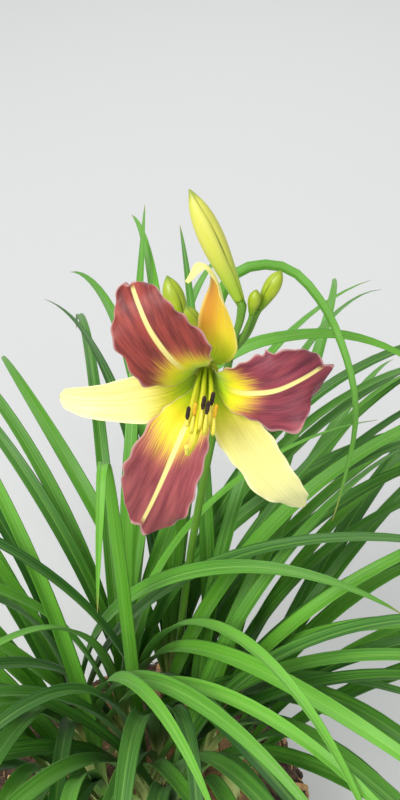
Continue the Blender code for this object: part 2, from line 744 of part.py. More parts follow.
def make_perianth_tube(bloom):
    """The narrow tube behind the bloom's face: its tepals, stamens and pistil stand on its mouth."""
    path = np.array([TUBE_BACK, TUBE_NEAR_BACK, (0, -0.2, -24), (0, 0, -12), (0, 0, -3), (0, 0, -0.6)]) * MM
    radii = np.array([2.4, 3.4, 3.0, 3.4, 5.6, 7.2]) * MM
    tube("perianth_tube", path, radii, 12, "throat", bloom)


def bud_ends(name):
    base, tip, radius = BUDS[name]
    return STALK_FORK + np.array(base) * MM, STALK_FORK + np.array(tip) * MM, radius * MM


def make_bud(name):
    """A closed bud: slender at its foot, fullest past the middle, with three blunt ribs."""
    base, tip, radius = bud_ends(name)
    steps = np.array([0.0, 0.1, 0.3, 0.55, 0.78, 0.93, 1.0])
    girth = np.array([0.42, 0.52, 0.78, 1.0, 0.86, 0.46, 0.12]) * radius
    axis = tip - base
    _, across = carried_frames(np.array([base, tip]), np.cross(axis, [0.3, 0.8, 0.5]))
    second = np.cross(normalised(axis), across[0])
    sides = 9
    points = []
    for step, size in zip(steps, girth):
        for k in range(sides):
            turn = k * 2 * math.pi / sides
            ribbed = size * (1 + 0.07 * math.cos(3 * turn))
            points.append(base + axis * step + ribbed * (math.cos(turn) * across[0] + math.sin(turn) * second))
    return mesh_object(name, points, ring_faces(len(steps), sides), "bud")


def stem_to(seat, ahead, start, bow, radii):
    """A side stem from the stalk to the seat of what it carries. It meets the seat squarely."""
    end = seat - ahead * GAP
    straight = end - ahead * 3.5 * MM
    middle = (start + straight) / 2 + np.array(bow) * MM
    path = np.vstack([smooth_values([start, middle, straight], np.linspace(0, 1, 4)), end])
    return tube("stem", path, np.linspace(radii[0], radii[1], 5), 5, "stalk")


def make_stalk():
    """The scape: a tall bare stalk that forks under the bloom, with a stem to each bud."""
    steps = np.linspace(0, 1, 9)
    path = stalk_path(steps)
    pieces = [tube("stalk", path, STALK_RADIUS * (1 - 0.30 * steps), STALK_SIDES, "stalk")]
    fork = STALK_FORK
    low_fork = path[-1] - (path[-1] - path[-2]) * 0.18
    back, ahead = in_world(TUBE_BACK), normalised(in_world(TUBE_NEAR_BACK) - in_world(TUBE_BACK))
    pieces.append(stem_to(back, ahead, low_fork, (0, 3, -2), (2.2 * MM, 2.3 * MM)))
    bows = {
        "bud_large": (1, 1, 0),
        "bud_left_tall": (0, 4, -4),
        "bud_left_short": (0, 5, -2),
        "bud_right_tall": (2, 0, -1),
        "bud_right_short": (1, -1, 0),
    }
    for name, bow in bows.items():
        base, tip, radius = bud_ends(name)
        start = fork if name == "bud_large" else low_fork
        radii = (1.9 * MM, max(1.3 * MM, 0.4 * radius))
        pieces.append(stem_to(base, normalised(tip - base), start, bow, radii))
    pieces += make_bracts(low_fork)
    return united("flower_stalk", pieces, "stalk")


def stalk_path(steps):
    """The stalk's middle line, which bows a little to the right."""
    foot = np.array([*spiral_place(STALK_PLACE), STALK_FOOT_HEIGHT])
    line = foot + np.outer(steps, STALK_FORK - foot)
    bow = np.sin(steps * math.pi)[:, None] * np.array([-9.0, 6.0, 0.0]) * MM
    return line + bow


def make_bracts(fork):
    """The small pointed leaves at the fork."""
    bracts = []
    for turn, length, lean in ((0.3, 26, 0.5), (2.6, 22, 0.6), (4.4, 18, 0.45)):
        leaf = {
            "foot": tuple(fork + np.array([0.6 * math.cos(turn), 0.6 * math.sin(turn), -5.0]) * MM),
            "turn": turn,
            "lean": lean * 0.4,
            "droop": lean * 1.6,
            "late": 1.2,
            "drift": 0.0,
            "twist": 0.0,
            "length": length * MM,
            "width": 7 * MM,
        }
        bracts.append(mesh_object("bract", *blade_shape(leaf, 0.5 * MM, 0.0), "stalk"))
    return bracts


def bloom_matrix():
    return Matrix.Translation(Vector(BLOOM_CENTRE)) @ Matrix.Rotation(math.radians(90 - BLOOM_RISE_DEG), 4, "X")


def in_world(point_mm):
    return np.array(bloom_matrix() @ Vector(np.array(point_mm) * MM))


def keep_clear_of_flower(room):
    """The room that the bloom, its front, the buds and the stalk need, which no leaf enters."""
    steps = np.linspace(0, 1, 12)
    for name, path, radii in (
        ("stalk", stalk_path(steps), np.full(12, 6 * MM)),
        ("bloom", np.linspace(in_world((0, 0, -44)), in_world((0, 0, 62)), 12), np.linspace(30, 104, 12) * MM),
        ("sight", np.linspace(in_world((0, 0, 62)), in_world((0, 170, 330)), 12), np.linspace(104, 92, 12) * MM),
        ("buds", np.linspace(STALK_FORK, STALK_FORK + np.array([-8, 22, 84]) * MM, 12), np.full(12, 46 * MM)),
    ):
        guide = tube(name, path, radii, 10, "stalk")
        room.add(name, [tuple(v.co) for v in guide.data.vertices], [tuple(p.vertices) for p in guide.data.polygons])
        bpy.data.objects.remove(guide)


def make_crown_and_clod(fans):
    crown = united("crown_and_roots", crown_shapes(0.0), "root")
    dish = united("dish", crown_shapes(ROOT_CLEARANCE), "root")
    clod = make_clod()
    cut_from(clod, [dish])
    holes = [mesh_object("hole", *neck_shape(place, plane, GAP, 0.3), "root") for place, plane in fans]
    stalk_foot = stalk_path(np.linspace(0, 1, 9))[:2].copy()
    stalk_foot[0] -= normalised(stalk_foot[1] - stalk_foot[0]) * GAP
    holes.append(tube("hole", stalk_foot, [STALK_RADIUS + GAP] * 2, STALK_SIDES, "root"))
    cut_from(crown, holes)


def main():
    for old in list(bpy.data.objects):
        bpy.data.objects.remove(old)
    bloom = bpy.data.objects.new("bloom_frame", None)
    bpy.context.scene.collection.objects.link(bloom)
    bloom.matrix_world = bloom_matrix()
    for name in TEPALS:
        make_tepal(name, bloom)
    make_stamens(bloom)
    make_perianth_tube(bloom)
    make_stalk()
    for name in BUDS:
        make_bud(name)
    fans = fans_on_crown()
    make_crown_and_clod(fans)
    room = Room()
    keep_clear_of_flower(room)
    for number, leaves in enumerate(place_leaves(room, fans)):
        make_fan(number, *fans[number], leaves)


main()
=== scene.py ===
"""A daylily plant lifted with its earth: leaf fans, a forked flower stalk with buds, and one open bloom.

Each piece stands for nodes of the loaded frame and keeps their form, with finer petals, blades and soil.
Metres, +Z up. The bloom faces -Y and a little upward.
"""

import math
import random

import bmesh
import bpy
import numpy as np
from bpy.props import FloatProperty, FloatVectorProperty, IntProperty, PointerProperty
from mathutils import Matrix, Vector, noise
from mathutils.bvhtree import BVHTree


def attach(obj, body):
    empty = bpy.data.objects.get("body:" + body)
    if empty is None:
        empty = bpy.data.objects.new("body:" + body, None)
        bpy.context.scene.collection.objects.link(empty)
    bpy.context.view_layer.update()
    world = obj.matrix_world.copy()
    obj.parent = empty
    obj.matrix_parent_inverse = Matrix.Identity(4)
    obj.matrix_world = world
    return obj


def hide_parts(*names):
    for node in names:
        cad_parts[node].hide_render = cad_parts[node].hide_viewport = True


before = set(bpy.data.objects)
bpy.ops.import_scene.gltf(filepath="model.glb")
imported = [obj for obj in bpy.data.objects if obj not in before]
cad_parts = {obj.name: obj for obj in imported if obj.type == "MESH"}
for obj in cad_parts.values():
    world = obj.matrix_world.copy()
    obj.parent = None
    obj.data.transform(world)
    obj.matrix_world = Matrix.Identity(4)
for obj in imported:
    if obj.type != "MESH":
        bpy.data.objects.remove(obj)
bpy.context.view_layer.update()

bl_info = {
    "name": "Daylily Plant",
    "version": (1, 0, 0),
    "blender": (4, 5, 0),
    "location": "View3D > Sidebar > Daylily",
    "description": "Builds a daylily plant with its leaf fans, flower stalk, bloom and clump of earth",
    "category": "Object",
}

MM = 0.001
UP = np.array([0.0, 0.0, 1.0])
GAP = 0.35 * MM

# The clump of earth and the crown in it.
CLOD_RADIUS = 140 * MM
CLOD_HEIGHT = 113 * MM
CLOD_BUMPS = 0.06
CROWN_RADIUS = 96 * MM
CROWN_TOP = 124 * MM
CROWN_LOBES = 0.06
# Shares of the clod's radius and height from its top centre to its foot.
CLOD_OUTLINE = [
    (0, 1), (0.4, 1), (0.8, 0.96), (1.0, 0.78), (1.02, 0.5), (0.95, 0.22), (0.85, 0.05), (0.80, 0),
]
# Shares of the crown's radius and heights over its top, in millimetres.
CROWN_PROFILE = [
    (1.0, -22), (1.01, -14), (1.0, -7), (0.95, -2.5), (0.86, 0), (0.6, 1.0), (0.3, 1.4), (0.03, 1.2),
]
ROOT_COUNT = 12
ROOT_RADIUS = 3.2 * MM
ROOT_SWELLING = 3.8 * MM

# The leaf fans.
FAN_COUNT = 13
FAN_SPREAD = 80 * MM
STALK_PLACE = 3
FAN_SEED = 41
LEAVES_PER_FAN = 10
LEAF_STATIONS = 6
LEADING_STATIONS = 13
LEAF_STEPS = 84
LEAF_THICKNESS = 1.0 * MM
LEAF_CLEARANCE = 0.45 * MM
LEAF_TRIES = 220
NECK_BREADTH = 10.5 * MM
NECK_DEPTH = 7.5 * MM
NECK_RISE = 72 * MM
NECK_SIDES = 7

# The leaves seen beside the bloom: fan, width, twist and the points each passes through, in millimetres.
LEADING_LEAVES = [
    (
        10, 13.0, -1.6,
        [(32, 74, 300), (42, 78, 440), (53, 80, 560), (68, 81, 632), (101, 81, 644), (126, 60, 631),
         (142, 28, 607), (145, -1, 587), (136, -33, 563), (130, -48, 551)],
    ),
    (
        5, 15.0, 1.2,
        [(0, 62, 330), (20, 64, 470), (44, 64, 552), (75, 66, 587), (112, 71, 596), (150, 72, 594),
         (188, 68, 578), (220, 62, 548)],
    ),
    (
        2, 14.0, 0.2,
        [(-2, -24, 330), (-6, -14, 470), (-8, -15, 555), (-9, -27, 576), (-10, -48, 560), (-12, -64, 530),
         (-14, -76, 495)],
    ),
]

# The flower stalk and where the bloom sits on it.
STALK_FOOT_HEIGHT = 98 * MM
STALK_FORK = np.array([70.0, 18.0, 640.0]) * MM
STALK_RADIUS = 3.5 * MM
BLOOM_CENTRE = np.array([53.0, -24.4, 654.1]) * MM
BLOOM_RISE_DEG = 20.0

# Each tepal in the bloom's own frame, in millimetres and degrees.
TEPALS = {
    "petal_upper_left": {
        "midrib": [
            (-2.6, 3.7, 0), (-6, 8.4, 16), (-12, 14, 29), (-19, 24.5, 38), (-28, 40.5, 43),
            (-34, 54, 40), (-38, 62, 30),
        ],
        "left": [3.5, 6.4, 16, 21.5, 21, 14.5, 6],
        "right": [3.5, 6.8, 18, 22.5, 18.5, 13.5, 9],
        "cup": [48, 42, 28, 12, 2, -8, -10],
        "roll": [0, 0, 0, 0, 0, 0, 0],
        "ruffle": 2.6,
        "phase": 0.4,
        "lobes": (-1.0, 0.0),
    },
    "petal_right": {
        "midrib": [
            (4.5, 0.5, 0), (8.4, 0.9, 16), (14, 1.2, 28), (24, 3, 36), (37, 6, 39),
            (50, 11.5, 37), (62.5, 15.5, 28),
        ],
        "left": [3.5, 6.8, 14, 19, 22, 17.5, 9],
        "right": [3.5, 6.4, 11.5, 16, 23, 14.5, 10],
        "cup": [48, 42, 28, 12, 0, -10, -10],
        "roll": [0, 0, 0, 0, 0, 0, 0],
        "ruffle": 2.8,
        "phase": 1.9,
        "lobes": (0.0, 6.0),
    },
    "petal_lower": {
        "midrib": [
            (-1.5, -4.2, 0), (-3.2, -8, 16), (-7.5, -13, 28), (-13, -21.5, 36), (-21, -41, 39),
            (-29, -63, 34), (-37, -85, 24),
        ],
        "left": [3.5, 6.4, 11, 15.5, 18.5, 20, 13],
        "right": [3.5, 6.6, 12.5, 18, 21, 21, 8],
        "cup": [48, 42, 28, 12, 4, -6, -8],
        "roll": [0, 0, 0, 0, 0, 0, 0],
        "ruffle": 2.2,
        "phase": 3.3,
        "lobes": (8.0, 1.0),
    },
    "sepal_left": {
        "midrib": [
            (-6.4, -1.3, 0), (-11.2, -2.2, 12), (-19, -3.4, 21), (-32, -3.2, 28), (-50, -4.6, 30),
            (-67, -6, 26), (-80, -10, 12),
        ],
        "left": [4.0, 6.5, 11.5, 14, 11.5, 8.5, 4.0],
        "right": [4.0, 6.5, 11.5, 14, 11.5, 8.5, 4.0],
        "cup": [36, 32, 22, 20, 26, 30, 20],
        "roll": [0, 0, 0, 0, 0, 0, 0],
        "ruffle": 0.9,
        "phase": 0.9,
        "lobes": (0.0, 0.0),
    },
    "sepal_lower_right": {
        "midrib": [
            (3.8, -5.3, 0), (6.6, -9.4, 12), (12, -15.2, 21), (21, -27.5, 29), (33.5, -45.5, 31),
            (46.5, -62, 27), (57, -80, 12),
        ],
        "left": [4.0, 6.5, 11.5, 13.5, 12.5, 9.5, 4.0],
        "right": [4.0, 6.5, 11.5, 13.5, 12.5, 9.5, 4.0],
        "cup": [36, 32, 22, 16, 14, 20, 20],
        "roll": [0, 0, 0, 0, 0, 0, 0],
        "ruffle": 1.9,
        "phase": 2.2,
        "lobes": (0.0, 0.0),
    },
    "sepal_top": {
        "midrib": [
            (1.3, 6.3, 0), (3.2, 12.4, 12), (6.0, 24.5, 22.5), (7.6, 45, 30), (5.8, 64, 34),
            (-2, 73, 35), (-10, 65, 38),
        ],
        "left": [4.0, 6.8, 11, 12, 6, 4.5, 1.2],
        "right": [4.0, 6.8, 11, 9, 5, 4.5, 1.2],
        "cup": [36, 32, 24, 26, 34, 34, 20],
        "roll": [0, 0, 6, 34, 74, 84, 84],
        "ruffle": 0.8,
        "phase": 4.1,
        "lobes": (0.0, 0.0),
    },
}

STAMENS = {
    "stamen_1": [(-2.2, 1.3, 1), (-5.4, 1.0, 28), (-9.2, -5.6, 54), (-9.6, -2.0, 58)],
    "stamen_2": [(-2.2, -1.3, 1), (-4.9, -4.4, 28), (-7.6, -10.6, 54), (-6.2, 1.0, 60)],
    "stamen_3": [(0.0, 2.55, 1), (-1.3, 1.8, 28), (-3.4, -7.0, 56), (-1.9, 5.5, 62)],
    "stamen_4": [(0.0, -2.55, 1), (-0.2, -5.8, 30), (-0.8, -9.6, 57), (0.2, 3.4, 63)],
    "stamen_5": [(2.2, 1.3, 1), (2.9, 0.9, 28), (1.7, -6.0, 54), (2.6, 6.4, 59)],
    "stamen_6": [(2.2, -1.3, 1), (3.1, -4.2, 28), (3.6, -11.0, 55), (4.2, 0.0, 60)],
}
ORANGE_ANTHERS = ("stamen_2", "stamen_6")
PISTIL = [(0, 0, 1), (-0.9, -2.2, 28), (-4.4, -12.8, 54), (-9.0, -13.4, 73), (-9.8, -6.8, 78)]
TUBE_BACK = (0, -2.2, -38)
TUBE_NEAR_BACK = (0, -1.0, -32)
ANTHER_LENGTH = 8.5
ANTHER_SLANT = (0.12, 0.93, 0.35)

# Each bud, in millimetres: its seat and tip from the stalk's fork, its greatest radius and its stem's bow.
BUDS = {
    "bud_large": ((3.0, 9.0, 22.0), (-26.0, 34.0, 82.0), 7.2, (1, 1, 0)),
    "bud_left_tall": ((-29.0, -2.0, 6.0), (-39.0, 12.0, 38.0), 6.2, (0, 4, -4)),
    "bud_left_short": ((-19.0, -9.0, 10.0), (-28.0, -8.0, 32.0), 4.4, (0, 5, -2)),
    "bud_right_tall": ((15.0, 11.0, 14.0), (27.0, 17.0, 38.0), 4.8, (2, 0, -1)),
    "bud_right_short": ((10.0, 5.0, 15.0), (12.5, 8.0, 31.0), 3.6, (1, -1, 0)),
}

# The bracts at the fork: turn about the stalk, length in millimetres and lean.
BRACTS = ((0.3, 26, 0.5), (2.6, 22, 0.6), (4.4, 18, 0.45))

# Seeds of what the scene adds: the waves of each fan's blades, each fleshy root, the fine roots and dry feet.
BLADE_SEED = 500
ROOT_SEED = 900
FINE_SEED = 77

# The picture: its size, where the throat lies in it, and the focal length, all in pixels.
PICTURE_SIZE = (400, 800)
THROAT_PIXEL = (205.5, 371.0)
FOCAL_PIXELS = 1116.0
SENSOR_HEIGHT = 24.0
FLOOR_HALF = 14.0


# curves and frames

def normalised(vector):
    return vector / np.linalg.norm(vector)


def smooth_values(controls, places):
    """A smooth curve through evenly spaced control values, read at places from 0 to 1."""
    controls = np.asarray(controls, float)
    if controls.ndim == 1:
        return smooth_values(controls[:, None], places)[:, 0]
    spans = len(controls) - 1
    padded = np.vstack([2 * controls[0] - controls[1], controls, 2 * controls[-1] - controls[-2]])
    at = np.clip(np.asarray(places, float), 0, 1) * spans
    span = np.minimum(at.astype(int), spans - 1)
    u = (at - span)[:, None]
    before, start, end, after = (padded[span + k] for k in range(4))
    return 0.5 * (
        2 * start
        + (end - before) * u
        + (2 * before - 5 * start + 4 * end - after) * u**2
        + (3 * start - before - 3 * end + after) * u**3
    )


def carried_frames(points, first_side):
    """Tangents and sides along a path: the side is carried from point to point without turning about it."""
    tangents = np.gradient(points, axis=0)
    tangents /= np.linalg.norm(tangents, axis=1)[:, None]
    sides = np.empty_like(points)
    side = np.asarray(first_side, float)
    for k, tangent in enumerate(tangents):
        side = normalised(side - tangent * (side @ tangent))
        sides[k] = side
    return tangents, sides


def bloom_matrix():
    turn = Matrix.Rotation(math.radians(90 - BLOOM_RISE_DEG), 4, "X")
    return Matrix.Translation(Vector(BLOOM_CENTRE)) @ turn


def in_world(points_mm):
    """Points of the bloom's frame, in millimetres, as points of the plant's frame, in metres."""
    matrix = np.array(bloom_matrix())
    return np.asarray(points_mm, float) * MM @ matrix[:3, :3].T + matrix[:3, 3]


# leaf placing, the same draws as the solids have

def spiral_place(number):
    """Places on the crown from the middle outward. One is the stalk's, the others are the fans'."""
    radius = FAN_SPREAD * math.sqrt((number + 0.45) / (FAN_COUNT + 1))
    turn = number * math.pi * (3 - math.sqrt(5)) - 0.04
    return radius * math.cos(turn), radius * math.sin(turn)


def fans_on_crown():
    """Each fan's place on the crown and the direction in which it spreads."""
    draw = random.Random(FAN_SEED)
    places = [spiral_place(number) for number in range(FAN_COUNT + 1) if number != STALK_PLACE]
    return [(place, draw.uniform(0, math.pi)) for place in places]


def draw_leaf(draw, place, plane, number, stray):
    """One leaf of a fan by chance: the first is the oldest and lowest, the last is the most upright."""
    rank = number / (LEAVES_PER_FAN - 1)
    ward = plane + math.pi * (number % 2)
    outward = math.atan2(place[1], place[0])
    pull = min(1.0, math.hypot(*place) / FAN_SPREAD) * 0.5
    turn = draw.gauss(0, 0.25 + 0.75 * stray) + math.atan2(
        (1 - pull) * math.sin(ward) + pull * math.sin(outward),
        (1 - pull) * math.cos(ward) + pull * math.cos(outward),
    )
    off = NECK_BREADTH * 0.3 * (1 - 0.8 * rank)
    return {
        "foot": (
            place[0] + off * math.cos(ward),
            place[1] + off * math.sin(ward),
            CROWN_TOP + NECK_RISE * (0.06 + 0.7 * rank),
        ),
        "turn": turn,
        "lean": math.radians(draw.uniform(10, 22) * (1 - 0.75 * rank)),
        "droop": math.radians(draw.uniform(128, 168) - 62 * rank * draw.uniform(0.3, 1.0)),
        "late": draw.uniform(1.35, 2.1),
        "drift": draw.uniform(-0.5, 0.5),
        "twist": draw.uniform(-0.9, 0.9),
        "length": draw.uniform(0.50, 0.60) - 0.09 * rank,
        "width": draw.uniform(14, 19.5) * MM,
    }


def run_through(leaf, steps):
    """The same as leaf_run for a leaf that passes through given points."""
    through = smooth_values([leaf["foot"], *leaf["through"]], np.linspace(0, 1, 240))
    lengths = np.concatenate([[0], np.cumsum(np.linalg.norm(np.diff(through, axis=0), axis=1))])
    along = np.linspace(0, 1, steps + 1)
    points = np.stack([np.interp(along * lengths[-1], lengths, through[:, k]) for k in range(3)], axis=1)
    tangents, sides = carried_frames(points, np.cross(UP, points[-1] - points[0]))
    uppers = np.cross(tangents, sides)
    roll = leaf["twist"] * along[:, None] ** 1.5
    return along, points, tangents, sides * np.cos(roll) + uppers * np.sin(roll), (
        uppers * np.cos(roll) - sides * np.sin(roll)
    )


def leaf_run(leaf, steps):
    """Points, tangents, sides and upper directions of a leaf at even steps along it."""
    if "through" in leaf:
        return run_through(leaf, steps)
    along = np.linspace(0, 1, steps + 1)
    tilt = leaf["lean"] + (leaf["droop"] - leaf["lean"]) * along ** leaf["late"]
    turn = leaf["turn"] + leaf["drift"] * along**2
    heading = np.stack([np.cos(turn), np.sin(turn), np.zeros_like(turn)], axis=1)
    tangents = np.sin(tilt)[:, None] * heading + np.cos(tilt)[:, None] * UP
    middles = (tangents[1:] + tangents[:-1]) / 2 * (leaf["length"] / steps)
    points = np.vstack([[0, 0, 0], np.cumsum(middles, axis=0)]) + leaf["foot"]
    level = np.stack([-np.sin(turn), np.cos(turn), np.zeros_like(turn)], axis=1)
    above = np.cross(tangents, level)
    roll = leaf["twist"] * along[:, None] ** 1.5
    sides = level * np.cos(roll) + above * np.sin(roll)
    uppers = above * np.cos(roll) - level * np.sin(roll)
    return along, points, tangents, sides, uppers


def leaf_half_width(leaf, along):
    opening = 0.5 + 0.5 * np.sin(np.clip(along / 0.36, 0, 1) * math.pi / 2)
    return leaf["width"] / 2 * opening * np.clip(1 - along**2.4, 0, 1) ** 0.8


def leaf_fold(along):
    """How steeply each half of the blade rises from its keel, in radians."""
    return math.radians(24) + math.radians(34) * np.exp(-along / 0.13)


def leaf_stations(tangents, count):
    turning = np.linalg.norm(np.diff(tangents, axis=0), axis=1)
    measure = 0.5 / len(turning) + 0.5 * turning / turning.sum()
    measure = np.concatenate([[0], np.cumsum(measure)])
    even = np.linspace(0, measure[-1], count + 1)
    return [int(round(s)) for s in np.interp(even, measure, np.arange(len(measure)))]


def blade_shape(leaf, half_thickness, edge):
    """Points and faces of a leaf's plain folded blade, as the solids have it."""
    along, points, tangents, sides, uppers = leaf_run(leaf, LEAF_STEPS)
    rings = LEADING_STATIONS if "through" in leaf else LEAF_STATIONS
    picked = leaf_stations(tangents, rings)
    half = leaf_half_width(leaf, along)
    fold = leaf_fold(along)
    shape = []
    for k in picked[:-1]:
        out = sides[k] * half[k] * math.cos(fold[k])
        rise = uppers[k] * half[k] * math.sin(fold[k])
        thick = uppers[k] * half_thickness
        lip = uppers[k] * edge
        shape += [points[k] - out + rise - lip, points[k] - thick, points[k] + out + rise - lip]
        shape += [points[k] + out + rise + lip, points[k] + thick, points[k] - out + rise + lip]
    shape.append(points[-1])
    faces = []
    for ring in range(rings - 1):
        for k in range(6):
            a = ring * 6 + k
            b = ring * 6 + (k + 1) % 6
            c, d = b + 6, a + 6
            faces += [(a, b, c), (a, c, d)] if k % 2 == 0 else [(a, b, d), (b, c, d)]
    last = (rings - 1) * 6
    tip = rings * 6
    faces += [(last + k, last + (k + 1) % 6, tip) for k in range(6)]
    faces += [(5, 4, 3), (5, 3, 2), (5, 2, 1), (5, 1, 0)]
    return shape, faces


class Room:
    """The space that is taken: each thing's box and its surface, to test the next thing against."""

    def __init__(self):
        self.taken = []

    def add(self, owner, points, faces):
        points = np.asarray(points)
        self.taken.append((owner, points.min(axis=0), points.max(axis=0), surface_tree(points, faces)))

    def is_free(self, points, faces, owner):
        """Whether a blade meets nothing. Its own fan's leaves are tested beyond its first ring alone."""
        points = np.asarray(points)
        low, high = points.min(axis=0), points.max(axis=0)
        whole = surface_tree(points, faces)
        own = surface_tree(points, [f for f in faces if min(f) >= 6])
        for other, other_low, other_high, other_tree in self.taken:
            if (low > other_high).any() or (high < other_low).any():
                continue
            if (own if other == owner else whole).overlap(other_tree):
                return False
        return True


def surface_tree(points, faces):
    triangles = [(f[0], f[k], f[k + 1]) for f in faces for k in range(1, len(f) - 1)]
    return BVHTree.FromPolygons([tuple(p) for p in points], triangles, all_triangles=True)


def too_low(leaf):
    points = leaf_run(leaf, LEAF_STEPS)[1]
    outside = np.hypot(points[:, 0], points[:, 1]) > CLOD_RADIUS * 1.25
    return bool((points[:, 2] < np.where(outside, 14 * MM, CROWN_TOP + 6 * MM)).any())


def ring_faces(rings, sides):
    faces = []
    for ring in range(rings - 1):
        for k in range(sides):
            a = ring * sides + k
            b = ring * sides + (k + 1) % sides
            faces += [(a, b, b + sides), (a, b + sides, a + sides)]
    last = (rings - 1) * sides
    faces.append(tuple(reversed(range(sides))))
    faces.append(tuple(last + k for k in range(sides)))
    return faces


def round_shape(path, radii, sides):
    """Points and faces of a round stem along a path."""
    path = np.asarray(path, float)
    tangents, across = carried_frames(path, np.cross(path[1] - path[0], [0.31, 0.83, 0.46]))
    second = np.cross(tangents, across)
    points = []
    for k, centre in enumerate(path):
        for turn in np.arange(sides) * 2 * math.pi / sides:
            points.append(centre + radii[k] * (math.cos(turn) * across[k] + math.sin(turn) * second[k]))
    return points, ring_faces(len(path), sides)


def neck_shape(place, plane, grow):
    """The stout foot of a fan, where its leaves hold each other."""
    heights = [CROWN_TOP - 24 * MM - grow, CROWN_TOP + 4 * MM, CROWN_TOP + NECK_RISE]
    points = []
    for z, size in zip(heights, [0.9, 1.0, 0.35]):
        for k in range(NECK_SIDES):
            turn = k * 2 * math.pi / NECK_SIDES
            along = (NECK_BREADTH * size + grow) * math.cos(turn)
            across = (NECK_DEPTH * size + grow) * math.sin(turn)
            x = place[0] + along * math.cos(plane) - across * math.sin(plane)
            y = place[1] + along * math.sin(plane) + across * math.cos(plane)
            points.append(np.array([x, y, z]))
    return points, ring_faces(len(heights), NECK_SIDES)


def stalk_path(steps):
    """The stalk's middle line, which bows a little to the right."""
    foot = np.array([*spiral_place(STALK_PLACE), STALK_FOOT_HEIGHT])
    line = foot + np.outer(steps, STALK_FORK - foot)
    return line + np.sin(steps * math.pi)[:, None] * np.array([-9.0, 6.0, 0.0]) * MM


def keep_clear_of_flower(room):
    """The room that the bloom, its front, the buds and the stalk need, which no leaf enters."""
    steps = np.linspace(0, 1, 12)
    back, front, sight = in_world((0, 0, -44)), in_world((0, 0, 62)), in_world((0, 170, 330))
    buds_top = STALK_FORK + np.array([-8, 22, 84]) * MM
    for name, path, radii in (
        ("stalk", stalk_path(steps), np.full(12, 6 * MM)),
        ("bloom", np.linspace(back, front, 12), np.linspace(30, 104, 12) * MM),
        ("sight", np.linspace(front, sight, 12), np.linspace(104, 92, 12) * MM),
        ("buds", np.linspace(STALK_FORK, buds_top, 12), np.full(12, 46 * MM)),
    ):
        room.add(name, *round_shape(path, radii, 10))


def leading_leaf(place, width, twist, through):
    return {
        "foot": (*place, CROWN_TOP + 0.45 * NECK_RISE),
        "through": np.array(through) * MM,
        "late": 1.0,
        "twist": twist,
        "width": width * MM,
    }


def place_leaves(fans):
    """Each fan's leaves, drawn until each one clears all that is there before it."""
    room = Room()
    keep_clear_of_flower(room)
    draw = random.Random(FAN_SEED + 1)
    grown = [[] for _ in fans]
    for number, (place, plane) in enumerate(fans):
        room.add(number, *neck_shape(place, plane, LEAF_CLEARANCE))
    for number, width, twist, through in LEADING_LEAVES:
        leaf = leading_leaf(fans[number][0], width, twist, through)
        room.add(number, *blade_shape(leaf, LEAF_CLEARANCE + LEAF_THICKNESS / 2, LEAF_CLEARANCE))
        grown[number].append(leaf)
    for count in range(LEAVES_PER_FAN):
        for number, (place, plane) in enumerate(fans):
            if len(grown[number]) > count:
                continue
            for attempt in range(LEAF_TRIES):
                leaf = draw_leaf(draw, place, plane, count, attempt / LEAF_TRIES)
                if too_low(leaf):
                    continue
                shape, faces = blade_shape(leaf, LEAF_CLEARANCE + LEAF_THICKNESS / 2, LEAF_CLEARANCE)
                if room.is_free(shape, faces, number):
                    room.add(number, shape, faces)
                    grown[number].append(leaf)
                    break
    return grown


# finishes

def colour(red, green, blue):
    """A colour given as it looks on a screen, 0 to 255, as linear values."""
    return tuple(((c / 255 + 0.055) / 1.055) ** 2.4 if c > 10 else c / 3295 for c in (red, green, blue))


